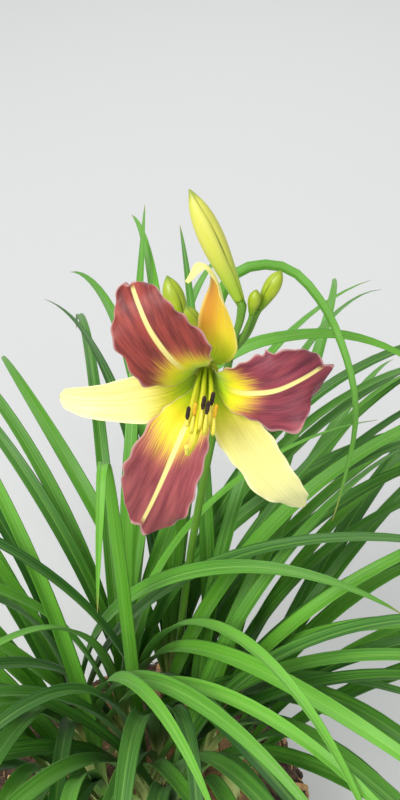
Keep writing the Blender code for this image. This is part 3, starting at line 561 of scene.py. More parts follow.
class Finish:
    """A material whose colour, gloss and bump come from its own nodes."""

    def __init__(self, name, roughness=0.5, **sockets):
        self.material = bpy.data.materials.new(name)
        self.material.use_nodes = True
        self.tree = self.material.node_tree
        self.shader = self.tree.nodes["Principled BSDF"]
        self.shader.inputs["Roughness"].default_value = roughness
        for socket, value in sockets.items():
            self.shader.inputs[socket.replace("_", " ")].default_value = value

    def put(self, socket, value):
        if isinstance(value, bpy.types.NodeSocket):
            self.tree.links.new(value, socket)
        elif isinstance(value, (tuple, list)) and len(value) == 3 and len(socket.default_value) == 4:
            socket.default_value = (*value, 1.0)
        else:
            socket.default_value = value

    def math(self, operation, first, second=0.0, third=0.0):
        node = self.tree.nodes.new("ShaderNodeMath")
        node.operation = operation
        for socket, value in zip(node.inputs, (first, second, third)):
            self.put(socket, value)
        return node.outputs[0]

    def times(self, first, second):
        return self.math("MULTIPLY", first, second)

    def plus(self, first, second):
        return self.math("ADD", first, second)

    def line(self, value, slope, start):
        """A value times a slope, plus a start."""
        return self.math("MULTIPLY_ADD", value, slope, start)

    def shaken(self, value, grain, amount):
        """A value moved up and down by the noise in a grain."""
        return self.line(self.math("SUBTRACT", grain, 0.5), amount, value)

    def attribute(self, name):
        node = self.tree.nodes.new("ShaderNodeAttribute")
        node.attribute_name = name
        return node.outputs["Fac"]

    def attributes(self, *names):
        return [self.attribute(name) for name in names]

    def position(self):
        return self.tree.nodes.new("ShaderNodeTexCoord").outputs["Object"]

    def vector(self, x, y, z):
        node = self.tree.nodes.new("ShaderNodeCombineXYZ")
        for socket, value in zip(node.inputs, (x, y, z)):
            self.put(socket, value)
        return node.outputs[0]

    def noise(self, scale, at=None, detail=2.0, roughness=0.5, distortion=0.0):
        node = self.tree.nodes.new("ShaderNodeTexNoise")
        self.put(node.inputs["Vector"], at or self.position())
        node.inputs["Scale"].default_value = scale
        node.inputs["Detail"].default_value = detail
        node.inputs["Roughness"].default_value = roughness
        node.inputs["Distortion"].default_value = distortion
        return node.outputs["Fac"]

    def streaks(self, *parts, detail=2, roughness=0.5):
        """Noise over three parts of a place, each a value alone or a value with its scale."""
        scaled = [self.times(*part) if isinstance(part, tuple) else part for part in parts]
        return self.noise(1.0, self.vector(*scaled), detail, roughness)

    def cells(self, scale):
        node = self.tree.nodes.new("ShaderNodeTexVoronoi")
        self.put(node.inputs["Vector"], self.position())
        node.inputs["Scale"].default_value = scale
        return node.outputs["Distance"]

    def rise(self, value, low, high):
        """0 below low, 1 above high, smooth between them."""
        node = self.tree.nodes.new("ShaderNodeMapRange")
        node.interpolation_type = "SMOOTHSTEP"
        self.put(node.inputs["Value"], value)
        self.put(node.inputs["From Min"], low)
        self.put(node.inputs["From Max"], high)
        return node.outputs["Result"]

    def fall(self, value, low, high):
        """1 below low, 0 above high, smooth between them."""
        return self.math("SUBTRACT", 1.0, self.rise(value, low, high))

    def mix(self, amount, first, second):
        node = self.tree.nodes.new("ShaderNodeMix")
        node.data_type = "RGBA"
        self.put(node.inputs[0], amount)
        self.put(node.inputs[6], first)
        self.put(node.inputs[7], second)
        return node.outputs[2]

    def tint(self, base, amount, strength, over):
        """A base colour with another laid over it by an amount times a strength."""
        return self.mix(self.times(amount, strength), base, over)

    def paint(self, value):
        self.put(self.shader.inputs["Base Color"], value)

    def gloss(self, value, low, high):
        """Roughness that runs from low to high with a value from 0 to 1."""
        self.put(self.shader.inputs["Roughness"], self.line(value, high - low, low))

    def bump(self, height, strength, depth):
        node = self.tree.nodes.new("ShaderNodeBump")
        node.inputs["Strength"].default_value = strength
        node.inputs["Distance"].default_value = depth
        self.put(node.inputs["Height"], height)
        self.put(self.shader.inputs["Normal"], node.outputs["Normal"])


def leaf_finish(settings):
    """Keeled blades: green with parallel veins, a paler channel, a whitish foot and a dry tip."""
    f = Finish("leaf_green", 0.42, Sheen_Weight=0.05)
    across, along, tone = f.attributes("across", "along", "tone")
    fine = f.streaks((across, 12.0), (along, 4.0), (tone, 40.0), detail=4)
    ribs = f.math("SINE", f.times(across, 34.0))
    light = f.line(tone, 0.75, f.times(f.noise(9.0), 0.35))
    base = f.mix(f.rise(light, 0.1, 1.0), tuple(settings.old_colour), tuple(settings.young_colour))
    base = f.tint(base, f.rise(fine, 0.42, 0.7), 0.5, colour(124, 186, 68))
    base = f.tint(base, f.rise(fine, 0.52, 0.3), 0.4, colour(26, 82, 14))
    base = f.mix(f.line(ribs, 0.13, 0.13), base, colour(36, 98, 20))
    base = f.tint(base, f.fall(f.math("ABSOLUTE", across), 0.03, 0.16), 0.26, colour(150, 200, 96))
    foot = f.fall(f.plus(along, f.times(fine, 0.05)), 0.05, 0.2)
    base = f.tint(base, foot, 0.85, colour(196, 206, 128))
    tip = f.rise(f.plus(along, f.times(fine, 0.06)), 0.99, 1.04)
    f.paint(f.mix(tip, base, colour(168, 142, 78)))
    f.gloss(fine, 0.36, 0.52)
    f.bump(f.line(ribs, 0.5, fine), 0.35, 0.25 * MM)
    return f.material


def petal_finish(name, body, shade, settings, reach, lean):
    """Wine-rose with a pale midrib, a feathered yellow eye, a green throat and a thin pale edge."""
    f = Finish(name, 0.5, Sheen_Weight=0.15, Sheen_Roughness=0.4)
    rib, edge, along, inner = f.attributes("rib", "edge", "along", "inner")
    throat = tuple(settings.throat_colour)
    fan = f.math("DIVIDE", rib, f.line(along, 0.8, 0.35))
    veins = f.streaks((fan, 1.5), (along, 3.0), 2.0, detail=4, roughness=0.62)
    threads = f.streaks((fan, 4.5), (along, 9.0), 9.0)
    wide = f.streaks((fan, 0.22), (along, 3.2), 7.0, detail=3)
    base = f.mix(f.rise(wide, 0.38, 0.62), shade, body)
    base = f.tint(base, f.rise(veins, 0.46, 0.7), 0.3, colour(192, 98, 84))
    base = f.tint(base, f.rise(threads, 0.52, 0.7), 0.28, shade)
    spread = f.shaken(f.shaken(along, veins, 0.26), threads, 0.14)
    spread = f.line(rib, lean, f.line(f.math("POWER", edge, 1.6), 0.16, spread))
    base = f.tint(base, f.fall(spread, reach - 0.02, reach + 0.12), 0.5, colour(222, 134, 84))
    base = f.mix(f.fall(spread, reach - 0.10, reach + 0.07), base, tuple(settings.eye_colour))
    base = f.mix(f.fall(f.shaken(along, veins, 0.12), 0.18, 0.44), base, throat)
    stripe = f.line(along, 0.9, f.shaken(f.math("ABSOLUTE", rib), veins, 0.9))
    stripe = f.times(f.fall(stripe, 1.5, 2.3), f.rise(along, 0.25, 0.5))
    stripe = f.times(stripe, f.fall(along, 0.93, 0.99))
    base = f.tint(base, stripe, 0.95, colour(240, 226, 140))
    rim = f.shaken(f.math("MAXIMUM", edge, f.rise(along, 0.9, 1.0)), threads, 0.06)
    base = f.tint(base, f.rise(rim, 0.925, 1.0), 0.66, colour(214, 168, 162))
    outer = f.mix(f.rise(along, 0.35, 0.8), colour(216, 206, 86), colour(190, 108, 96))
    outer = f.mix(f.rise(along, 0.1, 0.4), throat, outer)
    f.paint(f.mix(inner, outer, base))
    f.gloss(veins, 0.42, 0.62)
    f.bump(veins, 0.55, 0.35 * MM)
    return f.material


def sepal_finish(name, inner_colour, outer_and_highlight_colour, settings, rust=0.0):
    """Pale yellow with fine lengthwise veins, warmer in the throat; the top one has a rust streak inside."""
    f = Finish(name, 0.48, Sheen_Weight=0.1)
    rib, edge, along, inner = f.attributes("rib", "edge", "along", "inner")
    throat = tuple(settings.throat_colour)
    fan = f.math("DIVIDE", rib, f.line(along, 0.5, 0.5))
    veins = f.streaks((fan, 0.9), (along, 1.6), 5.0, detail=3, roughness=0.6)
    ribs = f.math("SINE", f.line(veins, 5.0, f.times(fan, 2.1)))
    base = f.mix(f.rise(along, 0.28, 0.62), tuple(settings.eye_colour), inner_colour)
    base = f.tint(base, f.rise(veins, 0.46, 0.75), 0.35, colour(234, 220, 104))
    base = f.tint(base, f.rise(ribs, 0.6, 1.0), 0.16, colour(206, 204, 60))
    base = f.tint(base, f.rise(along, 0.6, 0.95), 0.5, outer_and_highlight_colour)
    base = f.mix(f.fall(f.shaken(along, veins, 0.14), 0.18, 0.48), base, throat)
    if rust:
        streak = f.rise(f.line(veins, 3.0, f.times(rib, -1.0)), -3.0, 9.0)
        base = f.tint(base, f.times(streak, f.rise(along, 0.3, 0.45)), rust, colour(190, 104, 40))
    # The pale band along the edges is partly the sepal's own pale rim and partly painted highlight where the
    # cupped edges catch the light.
    base = f.tint(base, f.rise(edge, 0.8, 1.0), 0.6, outer_and_highlight_colour)
    outer = f.mix(f.rise(along, 0.1, 0.45), throat, outer_and_highlight_colour)
    f.paint(f.mix(inner, outer, base))
    f.gloss(veins, 0.4, 0.58)
    f.bump(f.line(ribs, -0.2, veins), 0.5, 0.45 * MM)
    return f.material


def thread_finish():
    """Stamen and pistil threads, greenish at the foot and paler toward the tip."""
    f = Finish("filament_yellow", 0.38)
    along = f.attribute("along")
    base = f.mix(f.rise(along, 0.05, 0.6), colour(190, 206, 40), colour(224, 216, 66))
    f.paint(f.mix(f.rise(along, 0.75, 1.0), base, colour(236, 222, 90)))
    f.bump(f.noise(900.0, detail=1), 0.1, 0.1 * MM)
    return f.material


def anther_finish(name, low, high):
    """Pollen sacs with a grainy face."""
    f = Finish(name, 0.8)
    grain = f.noise(1600.0, detail=2)
    f.paint(f.mix(f.rise(grain, 0.42, 0.66), low, high))
    f.bump(grain, 0.8, 0.3 * MM)
    return f.material


def bud_finish(name, body, foot):
    """Waxy yellow-green with three darker seams and greener tips."""
    f = Finish(name, 0.36)
    across, along, seam = f.attributes("across", "along", "seam")
    veins = f.streaks((across, 14.0), (along, 3.0), seam, detail=3)
    base = f.mix(f.rise(along, 0.0, 0.6), foot, body)
    base = f.tint(base, f.rise(veins, 0.45, 0.7), 0.4, colour(196, 208, 60))
    base = f.tint(base, f.rise(seam, 0.78, 0.99), 0.85, colour(86, 104, 20))
    f.paint(f.tint(base, f.rise(along, 0.88, 1.0), 0.7, colour(96, 132, 36)))
    f.gloss(veins, 0.3, 0.48)
    f.bump(f.math("SUBTRACT", veins, f.rise(seam, 0.8, 1.0)), 0.35, 0.4 * MM)
    return f.material


def stalk_finish(settings):
    """Streaked green. The bracts dry to brown toward their tips."""
    f = Finish("stalk_green", 0.4)
    across, along, dry = f.attributes("across", "along", "dry")
    streaks = f.streaks((across, 9.0), (along, 14.0), 0.0, detail=3)
    base = f.mix(f.rise(streaks, 0.35, 0.7), tuple(settings.stalk_colour), colour(128, 172, 62))
    browned = f.times(dry, f.rise(f.noise(260.0), 0.4, 0.62))
    f.paint(f.mix(browned, base, colour(150, 96, 50)))
    f.gloss(streaks, 0.34, 0.5)
    f.bump(streaks, 0.3, 0.2 * MM)
    return f.material


def tube_finish():
    """The tube behind the bloom, yellow-green with paler streaks."""
    f = Finish("tube_green", 0.42)
    across, along = f.attributes("across", "along")
    streaks = f.streaks((across, 8.0), (along, 4.0), 1.0, detail=3)
    base = f.mix(f.rise(along, 0.1, 0.9), colour(126, 168, 44), colour(196, 200, 52))
    f.paint(f.tint(base, f.rise(streaks, 0.45, 0.7), 0.4, colour(220, 216, 96)))
    f.bump(streaks, 0.3, 0.3 * MM)
    return f.material


def root_finish(settings):
    """Tan fleshy roots, ringed and smeared with soil."""
    f = Finish("root_tan", 0.8)
    across, along, tone = f.attributes("across", "along", "tone")
    rings = f.streaks(across, (along, 42.0), tone)
    smear = f.noise(70.0, detail=4, roughness=0.62)
    base = f.mix(f.rise(rings, 0.35, 0.7), tuple(settings.root_colour), colour(206, 168, 112))
    f.paint(f.mix(f.rise(smear, 0.46, 0.62), base, colour(82, 58, 38)))
    f.gloss(smear, 0.62, 0.92)
    f.bump(f.plus(rings, smear), 0.6, 0.8 * MM)
    return f.material


def crown_finish():
    """The matted crown: old leaf feet and fibres, dull brown."""
    f = Finish("crown_brown", 0.85)
    matted = f.noise(60.0, detail=5, roughness=0.65)
    strands = f.noise(240.0, detail=3, distortion=1.5)
    base = f.mix(f.rise(matted, 0.36, 0.62), colour(66, 46, 30), colour(126, 94, 58))
    f.paint(f.tint(base, f.rise(strands, 0.5, 0.7), 0.55, colour(164, 132, 84)))
    f.bump(f.plus(matted, strands), 0.8, 1.2 * MM)
    return f.material


def dry_finish():
    """The papery feet of old leaves."""
    f = Finish("sheath_dry", 0.75)
    across, along, tone = f.attributes("across", "along", "tone")
    grain = f.streaks((across, 8.0), (along, 3.0), tone, detail=3)
    f.paint(f.mix(f.rise(grain, 0.35, 0.7), colour(118, 84, 50), colour(196, 166, 112)))
    f.bump(grain, 0.5, 0.4 * MM)
    return f.material


def earth_finish(settings):
    """Moist crumbly soil with paler grains."""
    f = Finish("earth_dark", 0.92)
    crumbs = f.noise(120.0, detail=6, roughness=0.7)
    base = f.mix(f.rise(crumbs, 0.35, 0.68), colour(38, 26, 18), tuple(settings.soil_colour))
    f.paint(f.tint(base, f.rise(f.noise(600.0, detail=1), 0.66, 0.74), 0.5, colour(132, 108, 82)))
    f.gloss(crumbs, 0.8, 1.0)
    f.bump(f.math("SUBTRACT", crumbs, f.times(f.cells(420.0), 0.3)), 0.9, 1.6 * MM)
    return f.material


# geometry node trees

def new_tree(name, inputs):
    """A node tree that takes a geometry and the given inputs, each a label, a kind and a default."""
    tree = bpy.data.node_groups.new(name, "GeometryNodeTree")
    tree.interface.new_socket("Geometry", in_out="INPUT", socket_type="NodeSocketGeometry")
    for label, kind, default in inputs:
        socket = tree.interface.new_socket(label, in_out="INPUT", socket_type=kind)
        if default is not None:
            socket.default_value = default
    tree.interface.new_socket("Geometry", in_out="OUTPUT", socket_type="NodeSocketGeometry")
    return tree


class Nodes:
    """Short calls to add and join the nodes of a tree."""

    def __init__(self, tree):
        self.tree = tree
        self.inputs = tree.nodes.new("NodeGroupInput").outputs

    def add(self, kind, settings=None, **sockets):
        """A node's outputs. A socket is given by its name, or by _ and its number."""
        node = self.tree.nodes.new(kind)
        for key, value in (settings or {}).items():
            setattr(node, key, value)
        for name, value in sockets.items():
            socket = node.inputs[int(name[1:]) if name[1:].isdigit() else name.replace("_", " ")]
            if isinstance(value, bpy.types.NodeSocket):
                self.tree.links.new(value, socket)
            else:
                socket.default_value = value
        return node.outputs

    def read(self, name):
        node = self.add("GeometryNodeInputNamedAttribute", {"data_type": "FLOAT_VECTOR"}, Name=name)
        return node["Attribute"]

    def store(self, geometry, name, kind, value):
        settings = {"data_type": kind, "domain": "POINT"}
        node = self.add("GeometryNodeStoreNamedAttribute", settings, Geometry=geometry, Name=name, Value=value)
        return node["Geometry"]

    def scaled(self, vector, amount):
        return self.add("ShaderNodeVectorMath", {"operation": "SCALE"}, _0=vector, Scale=amount)["Vector"]

    def total(self, first, second):
        return self.add("ShaderNodeVectorMath", {"operation": "ADD"}, _0=first, _1=second)["Vector"]

    def smooth(self, geometry):
        return self.add("GeometryNodeSetShadeSmooth", Geometry=geometry)["Geometry"]

    def finish(self, geometry):
        """Ends the tree: real geometry with the finish that is put in."""
        real = self.add("GeometryNodeRealizeInstances", Geometry=geometry)["Geometry"]
        finish = self.inputs["Finish"]
        done = self.add("GeometryNodeSetMaterial", Geometry=real, Material=finish)["Geometry"]
        self.tree.links.new(done, self.tree.nodes.new("NodeGroupOutput").inputs[0])


def sweep_tree():
    """Sweeps a lens or round section along each path, by the directions that the path's points carry."""
    tree = new_tree(
        "swept_strands",
        [("Section Points", "NodeSocketInt", 12), ("Finish", "NodeSocketMaterial", None)],
    )
    n = Nodes(tree)
    circle = n.add("GeometryNodeCurvePrimitiveCircle", {"mode": "RADIUS"},
                   Resolution=n.inputs["Section Points"], Radius=1.0)["Curve"]
    place = n.add("GeometryNodeInputPosition")["Position"]
    section = n.store(circle, "section", "FLOAT_VECTOR", place)
    paths = n.add("GeometryNodeMeshToCurve", Mesh=n.inputs["Geometry"])["Curve"]
    swept = n.add("GeometryNodeCurveToMesh", Curve=paths, Profile_Curve=section, Fill_Caps=True)["Mesh"]
    parts = n.add("ShaderNodeSeparateXYZ", Vector=n.read("section"))
    lifted = n.add("ShaderNodeMath", {"operation": "ABSOLUTE"}, _0=parts["X"])["Value"]
    spot = n.total(n.read("middle"), n.scaled(n.read("side"), parts["X"]))
    spot = n.total(spot, n.scaled(n.read("lift"), lifted))
    spot = n.total(spot, n.scaled(n.read("thick"), parts["Y"]))
    placed = n.add("GeometryNodeSetPosition", Geometry=swept, Position=spot)["Geometry"]
    n.finish(n.smooth(n.store(placed, "across", "FLOAT", parts["X"])))
    return tree


def crumb_tree():
    """Scatters lumpy crumbs over a surface."""
    tree = new_tree(
        "scattered_crumbs",
        [
            ("Density", "NodeSocketFloat", 9000.0),
            ("Seed", "NodeSocketInt", 5),
            ("Smallest", "NodeSocketFloat", 0.0012),
            ("Largest", "NodeSocketFloat", 0.0045),
            ("Finish", "NodeSocketMaterial", None),
        ],
    )
    n = Nodes(tree)
    face, density, seed, smallest, largest = (n.inputs[k] for k in range(5))
    spots = n.add("GeometryNodeDistributePointsOnFaces", Mesh=face, Density=density, Seed=seed)["Points"]
    lump = n.add("GeometryNodeMeshIcoSphere", Radius=1.0, Subdivisions=2)["Mesh"]
    rough = n.add("ShaderNodeTexNoise", {"noise_dimensions": "3D"}, Scale=1.1, Detail=1.0)["Color"]
    shift = n.total(rough, (-0.5, -0.5, -0.5))
    lump = n.add("GeometryNodeSetPosition", Geometry=lump, Offset=n.scaled(shift, 0.9))["Geometry"]
    chance = "FunctionNodeRandomValue"
    size = n.add(chance, {"data_type": "FLOAT"}, _2=smallest, _3=largest, Seed=11)[1]
    turn = n.add(chance, {"data_type": "FLOAT_VECTOR"}, _0=(0, 0, 0), _1=(6.3, 6.3, 6.3), Seed=12)[0]
    lumps_at = {"Points": spots, "Instance": n.smooth(lump), "Rotation": turn, "Scale": size}
    n.finish(n.add("GeometryNodeInstanceOnPoints", **lumps_at)["Instances"])
    return tree


def tree_named(name, maker):
    return bpy.data.node_groups.get(name) or maker()


def grown_mesh(name, base, tree, values):
    """The plain mesh that a node tree makes from a base mesh. Values are by the inputs' labels."""
    holder = bpy.data.objects.new(name + "_base", base)
    bpy.context.scene.collection.objects.link(holder)
    modifier = holder.modifiers.new("nodes", "NODES")
    modifier.node_group = tree
    for item in tree.interface.items_tree:
        if item.item_type == "SOCKET" and item.in_out == "INPUT" and item.name in values:
            modifier[item.identifier] = values[item.name]
    holder.update_tag()
    graph = bpy.context.evaluated_depsgraph_get()
    mesh = bpy.data.meshes.new_from_object(holder.evaluated_get(graph))
    bpy.data.objects.remove(holder)
    mesh.name = name
    return mesh


# pieces

def as_piece(name, mesh, node):
    """A finished piece that rides on the plant and stands for a node of the frame."""
    piece = bpy.data.objects.new(name, mesh)
    bpy.context.scene.collection.objects.link(piece)
    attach(piece, "root")
    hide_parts(node)


def strand(middle, side, lift, thick, along, tone=0.5, **extra):
    """A path's points with the directions on which a section is laid, and the values that finishes read."""
    directions = {"middle": middle, "side": side, "lift": lift, "thick": thick}
    return {**directions, "along": along, "tone": tone, **extra}


def strands_mesh(name, strands):
    """The paths of the strands as a mesh of edges whose points carry how the section is laid on them."""
    counts = [len(s["middle"]) for s in strands]
    points = np.vstack([s["middle"] for s in strands])
    edges = []
    start = 0
    for count in counts:
        edges += [(start + k, start + k + 1) for k in range(count - 1)]
        start += count
    mesh = bpy.data.meshes.new(name + "_paths")
    mesh.from_pydata([tuple(p) for p in points], edges, [])
    for key in ("middle", "side", "lift", "thick"):
        values = np.vstack([s[key] for s in strands]).astype(np.float32)
        mesh.attributes.new(key, "FLOAT_VECTOR", "POINT").data.foreach_set("vector", values.ravel())
    keys = {k for s in strands for k in s} - {"middle", "side", "lift", "thick"}
    for key in sorted(keys):
        values = np.concatenate([np.broadcast_to(s.get(key, 0.0), (c,)) for s, c in zip(strands, counts)])
        mesh.attributes.new(key, "FLOAT", "POINT").data.foreach_set("value", values.astype(np.float32))
    return mesh


def swept_mesh(name, strands, sides, finish):
    tree = tree_named("swept_strands", sweep_tree)
    mesh = grown_mesh(name, strands_mesh(name, strands), tree, {"Section Points": sides, "Finish": finish})
    for key in ("middle", "side", "lift", "thick", "section"):
        mesh.attributes.remove(mesh.attributes[key])
    face_outward(mesh)
    return mesh


def face_outward(mesh):
    shape = bmesh.new()
    shape.from_mesh(mesh)
    bmesh.ops.recalc_face_normals(shape, faces=shape.faces)
    shape.to_mesh(mesh)
    shape.free()


def joined_mesh(name, meshes):
    """Several meshes as one, with their attributes and materials."""
    holders = []
    for k, mesh in enumerate(meshes):
        holder = bpy.data.objects.new(f"{name}_{k}", mesh)
        bpy.context.scene.collection.objects.link(holder)
        holders.append(holder)
    chosen = {"selected_objects": holders, "selected_editable_objects": holders}
    with bpy.context.temp_override(active_object=holders[0], **chosen):
        bpy.ops.object.join()
    mesh = holders[0].data
    bpy.data.objects.remove(holders[0])
    mesh.name = name
    return mesh


def grid_mesh(name, grid, closed, finish, attributes=None):
    """A mesh over a grid of points, closed round its second direction if asked, with point attributes."""
    rows, columns = grid.shape[:2]
    faces = []
    for row in range(rows - 1):
        for column in range(columns if closed else columns - 1):
            a = row * columns + column
            b = row * columns + (column + 1) % columns
            faces.append((a, b, b + columns, a + columns))
    if closed:
        faces.append(tuple(reversed(range(columns))))
        faces.append(tuple((rows - 1) * columns + k for k in range(columns)))
    mesh = bpy.data.meshes.new(name)
    mesh.from_pydata([tuple(p) for p in grid.reshape(-1, 3)], [], faces)
    mesh.materials.append(finish)
    for key, values in (attributes or {}).items():
        layer = mesh.attributes.new(key, "FLOAT", "POINT")
        layer.data.foreach_set("value", np.asarray(values, np.float32).ravel())
    mesh.shade_smooth()
    return mesh


def round_strand(path, radii, tone=0.5, flat=1.0, **extra):
    """A strand with a round section, or one pressed flat by a factor."""
    path = np.asarray(path, float)
    tangents, across = carried_frames(path, np.cross(path[1] - path[0], [0.31, 0.83, 0.46]))
    second = np.cross(tangents, across)
    radii = np.asarray(radii, float)[:, None]
    along = np.linspace(0, 1, len(path))
    return strand(path, across * radii, np.zeros_like(path), second * radii * flat, along, tone, **extra)


def leaf_strand(leaf, stations, draw, settings):
    """A leaf's fine blade: the run of the solid blade, with slight waves at its edges."""
    along, points, _, sides, uppers = (values[::3] for values in leaf_run(leaf, (stations - 1) * 3))
    half = leaf_half_width(leaf, along)[:, None] + 0.12 * MM
    wave = draw.uniform(0, 6.28)
    fold = leaf_fold(along) + 0.10 * np.sin(along * draw.uniform(9, 15) + wave) * along
    roll = 0.06 * np.sin(along * draw.uniform(10, 18) + wave * 2) * along
    turned = sides * np.cos(roll)[:, None] + uppers * np.sin(roll)[:, None]
    thick = settings.blade_thickness / 2 * (0.35 + 0.65 * (1 - along))[:, None]
    tone = 0.35 * draw.random() + 0.65 if "through" in leaf else draw.random()
    out, rise = turned * half * np.cos(fold)[:, None], uppers * half * np.sin(fold)[:, None]
    return strand(points, out, rise, uppers * thick, along, tone)


def fan_offset(turn, plane):
    """From a fan's middle to the outline of its foot, as x and y."""
    along, across = NECK_BREADTH * math.cos(turn), NECK_DEPTH * math.sin(turn)
    return (
        along * math.cos(plane) - across * math.sin(plane),
        along * math.sin(plane) + across * math.cos(plane),
    )


def neck_mesh(name, place, plane, finish):
    """The pale foot of a fan: a flattened column of sheathing leaf feet."""
    rows, columns = 26, 28
    steps = np.linspace(0, 1, rows)
    low, high = CROWN_TOP - 6 * MM, CROWN_TOP + NECK_RISE * 0.985
    size = smooth_values([0.94, 1.0, 0.93, 0.82, 0.69, 0.52, 0.36, 0.1], steps)
    turns = np.arange(columns) * 2 * math.pi / columns
    grid = np.empty((rows, columns, 3))
    for k, turn in enumerate(turns):
        fold = size * (1 + 0.035 * math.cos(5 * turn) - 0.05 * abs(math.sin(turn)) ** 6)
        x, y = fan_offset(turn, plane)
        grid[:, k, 0] = place[0] + x * fold
        grid[:, k, 1] = place[1] + y * fold
        grid[:, k, 2] = low + (high - low) * steps
    values = {
        "along": np.repeat(steps * 0.1, columns),
        "across": np.tile(np.cos(turns), rows),
        "tone": np.full(rows * columns, 0.5),
    }
    return grid_mesh(name, grid, True, finish, values)


def tepal_wave(shape, across, places, uneven):
    """How far a tepal stands off its plain surface: waves toward its edge, and a crease along its midrib."""
    ruffle, phase = shape["ruffle"], shape["phase"] + (1.7 if across > 0 else 0.0)
    wave = np.sin(2 * math.pi * 2.3 * places + phase) * ruffle * abs(across) ** 2.5
    wave += 0.36 * ruffle * abs(across) ** 5 * np.sin(2 * math.pi * 7.4 * places + 2 * phase)
    wave += 1.1 * ruffle * abs(across) ** 4 * uneven
    crease = -0.5 * math.exp(-((across / 0.09) ** 2)) + 0.3 * math.cos(3.4 * math.pi * across) * (1 - across**2)
    return np.clip((places - 0.2) / 0.5, 0, 1) * wave + crease * np.clip(places / 0.3, 0, 1)


def tepal_surface(shape, rows, columns):
    """Points of a tepal's middle surface, with each point's rib distance, edge share and place along it."""
    places = np.linspace(0, 1, rows + 1)
    midrib = smooth_values(shape["midrib"], places)
    first_side = normalised(np.array([midrib[0][1], -midrib[0][0], 0.0]))
    tangents, sides = carried_frames(midrib, first_side)
    inners = np.cross(sides, tangents)
    roll = np.radians(smooth_values(shape["roll"], places))[:, None]
    cosine, sine = np.cos(roll), np.sin(roll)
    sides, inners = sides * cosine + inners * sine, inners * cosine - sides * sine
    cup = np.radians(smooth_values(shape["cup"], places))
    cup = np.where(np.abs(cup) < 1e-3, 1e-3, cup)
    # The last rows draw in to a rounded point.
    point = np.sqrt(np.clip((1 - places) / 0.06, 0, 1))
    blunt = 0.6 if max(shape["lobes"]) > 0 else 0.3
    drawn = blunt + (1 - blunt) * point
    left, right = smooth_values(shape["left"], places) * drawn, smooth_values(shape["right"], places) * drawn
    shares = np.linspace(-1, 1, columns + 1)
    grid = np.empty((rows + 1, columns + 1, 3))
    rib = np.empty((rows + 1, columns + 1))
    for column, across in enumerate(shares):
        width = left if across < 0 else right
        uneven = np.array([noise.noise(Vector((9 * p, 0.7 * across, 9 * shape["phase"]))) for p in places])
        frill = np.sin(places * 58 + shape["phase"] * 3) + 3 * uneven
        grow = 1 + 0.014 * shape["ruffle"] * abs(across) ** 6 * frill
        out = width * grow * np.sin(cup * across) / cup
        lift = width * (1 - np.cos(cup * across)) / cup + tepal_wave(shape, across, places, uneven)
        reach = shape["lobes"][int(across > 0)] * math.sin(math.pi * abs(across)) * places**6
        grid[:, column] = midrib + sides * out[:, None] + inners * lift[:, None] + tangents * reach[:, None]
        rib[:, column] = width * across
    edge = np.broadcast_to(np.abs(shares), rib.shape)
    along = np.broadcast_to(places[:, None], rib.shape)
    return grid, rib, edge, along


def surface_normals(grid):
    normals = np.cross(np.gradient(grid, axis=1), np.gradient(grid, axis=0))
    return normals / np.maximum(np.linalg.norm(normals, axis=2), 1e-9)[:, :, None]


def tepal_mesh(name, shape, settings, finish):
    """A tepal as a thin closed blade with its inner and outer faces."""
    rows, columns = settings.tepal_rows, settings.tepal_rows // 2
    grid, rib, edge, along = tepal_surface(shape, rows, columns)
    half = settings.tepal_thickness / MM / 2 * (0.35 + 0.65 * (1 - edge**4)) * (1.3 - 0.6 * along)
    off = surface_normals(grid) * half[:, :, None]
    inner = in_world((grid + off).reshape(-1, 3)).reshape(grid.shape)
    outer = in_world((grid - off).reshape(-1, 3)).reshape(grid.shape)
    both = {"rib": rib, "edge": edge, "along": along}
    values = {key: np.concatenate([face, face[:, ::-1]], axis=1) for key, face in both.items()}
    values["inner"] = np.concatenate([np.ones_like(rib), np.zeros_like(rib)], axis=1)
    mesh = grid_mesh(name, np.concatenate([inner, outer[:, ::-1]], axis=1), True, finish, values)
    face_outward(mesh)
    return mesh


def bud_ends(name):
    """A bud's seat and tip in the plant's frame."""
    seat, tip = BUDS[name][:2]
    return STALK_FORK + np.array(seat) * MM, STALK_FORK + np.array(tip) * MM


def bud_mesh(name, finish):
    """A closed bud of three overlapping segments, with a seam between each two and a blunt tip."""
    seat, tip = bud_ends(name)
    rows, columns = 44, 36
    steps = np.linspace(0, 1, rows)
    girth = smooth_values([0.42, 0.60, 0.75, 0.89, 0.99, 1.0, 0.89, 0.60, 0.07], steps) * BUDS[name][2] * MM
    axis = tip - seat
    _, across = carried_frames(np.array([seat, tip]), np.cross(axis, [0.3, 0.8, 0.5]))
    second = np.cross(normalised(axis), across[0])
    turns = np.arange(columns) * 2 * math.pi / columns
    grid = np.empty((rows, columns, 3))
    seam = np.empty((rows, columns))
    for k, turn in enumerate(turns):
        swell = np.abs(np.cos(1.5 * (turn + 0.35 * steps)))
        seam[:, k] = 1 - swell
        ribbed = girth * (0.99 + 0.06 * swell**0.5 - 0.05 * (seam[:, k] > 0.9))
        out = math.cos(turn) * across[0] + math.sin(turn) * second
        grid[:, k] = seat + np.outer(steps, axis) + np.outer(ribbed, out)
    values = {"along": np.repeat(steps, columns), "across": np.tile(np.sin(turns), rows), "seam": seam}
    return grid_mesh(name, grid, True, finish, values)


def stem_path(seat, ahead, start, bow):
    """A stem from its start to just short of a seat, which it meets straight on."""
    end = seat - ahead * GAP
    straight = end - ahead * 3.5 * MM
    middle = (start + straight) / 2 + np.array(bow) * MM
    return np.vstack([smooth_values([start, middle, straight], np.linspace(0, 1, 14)), end])


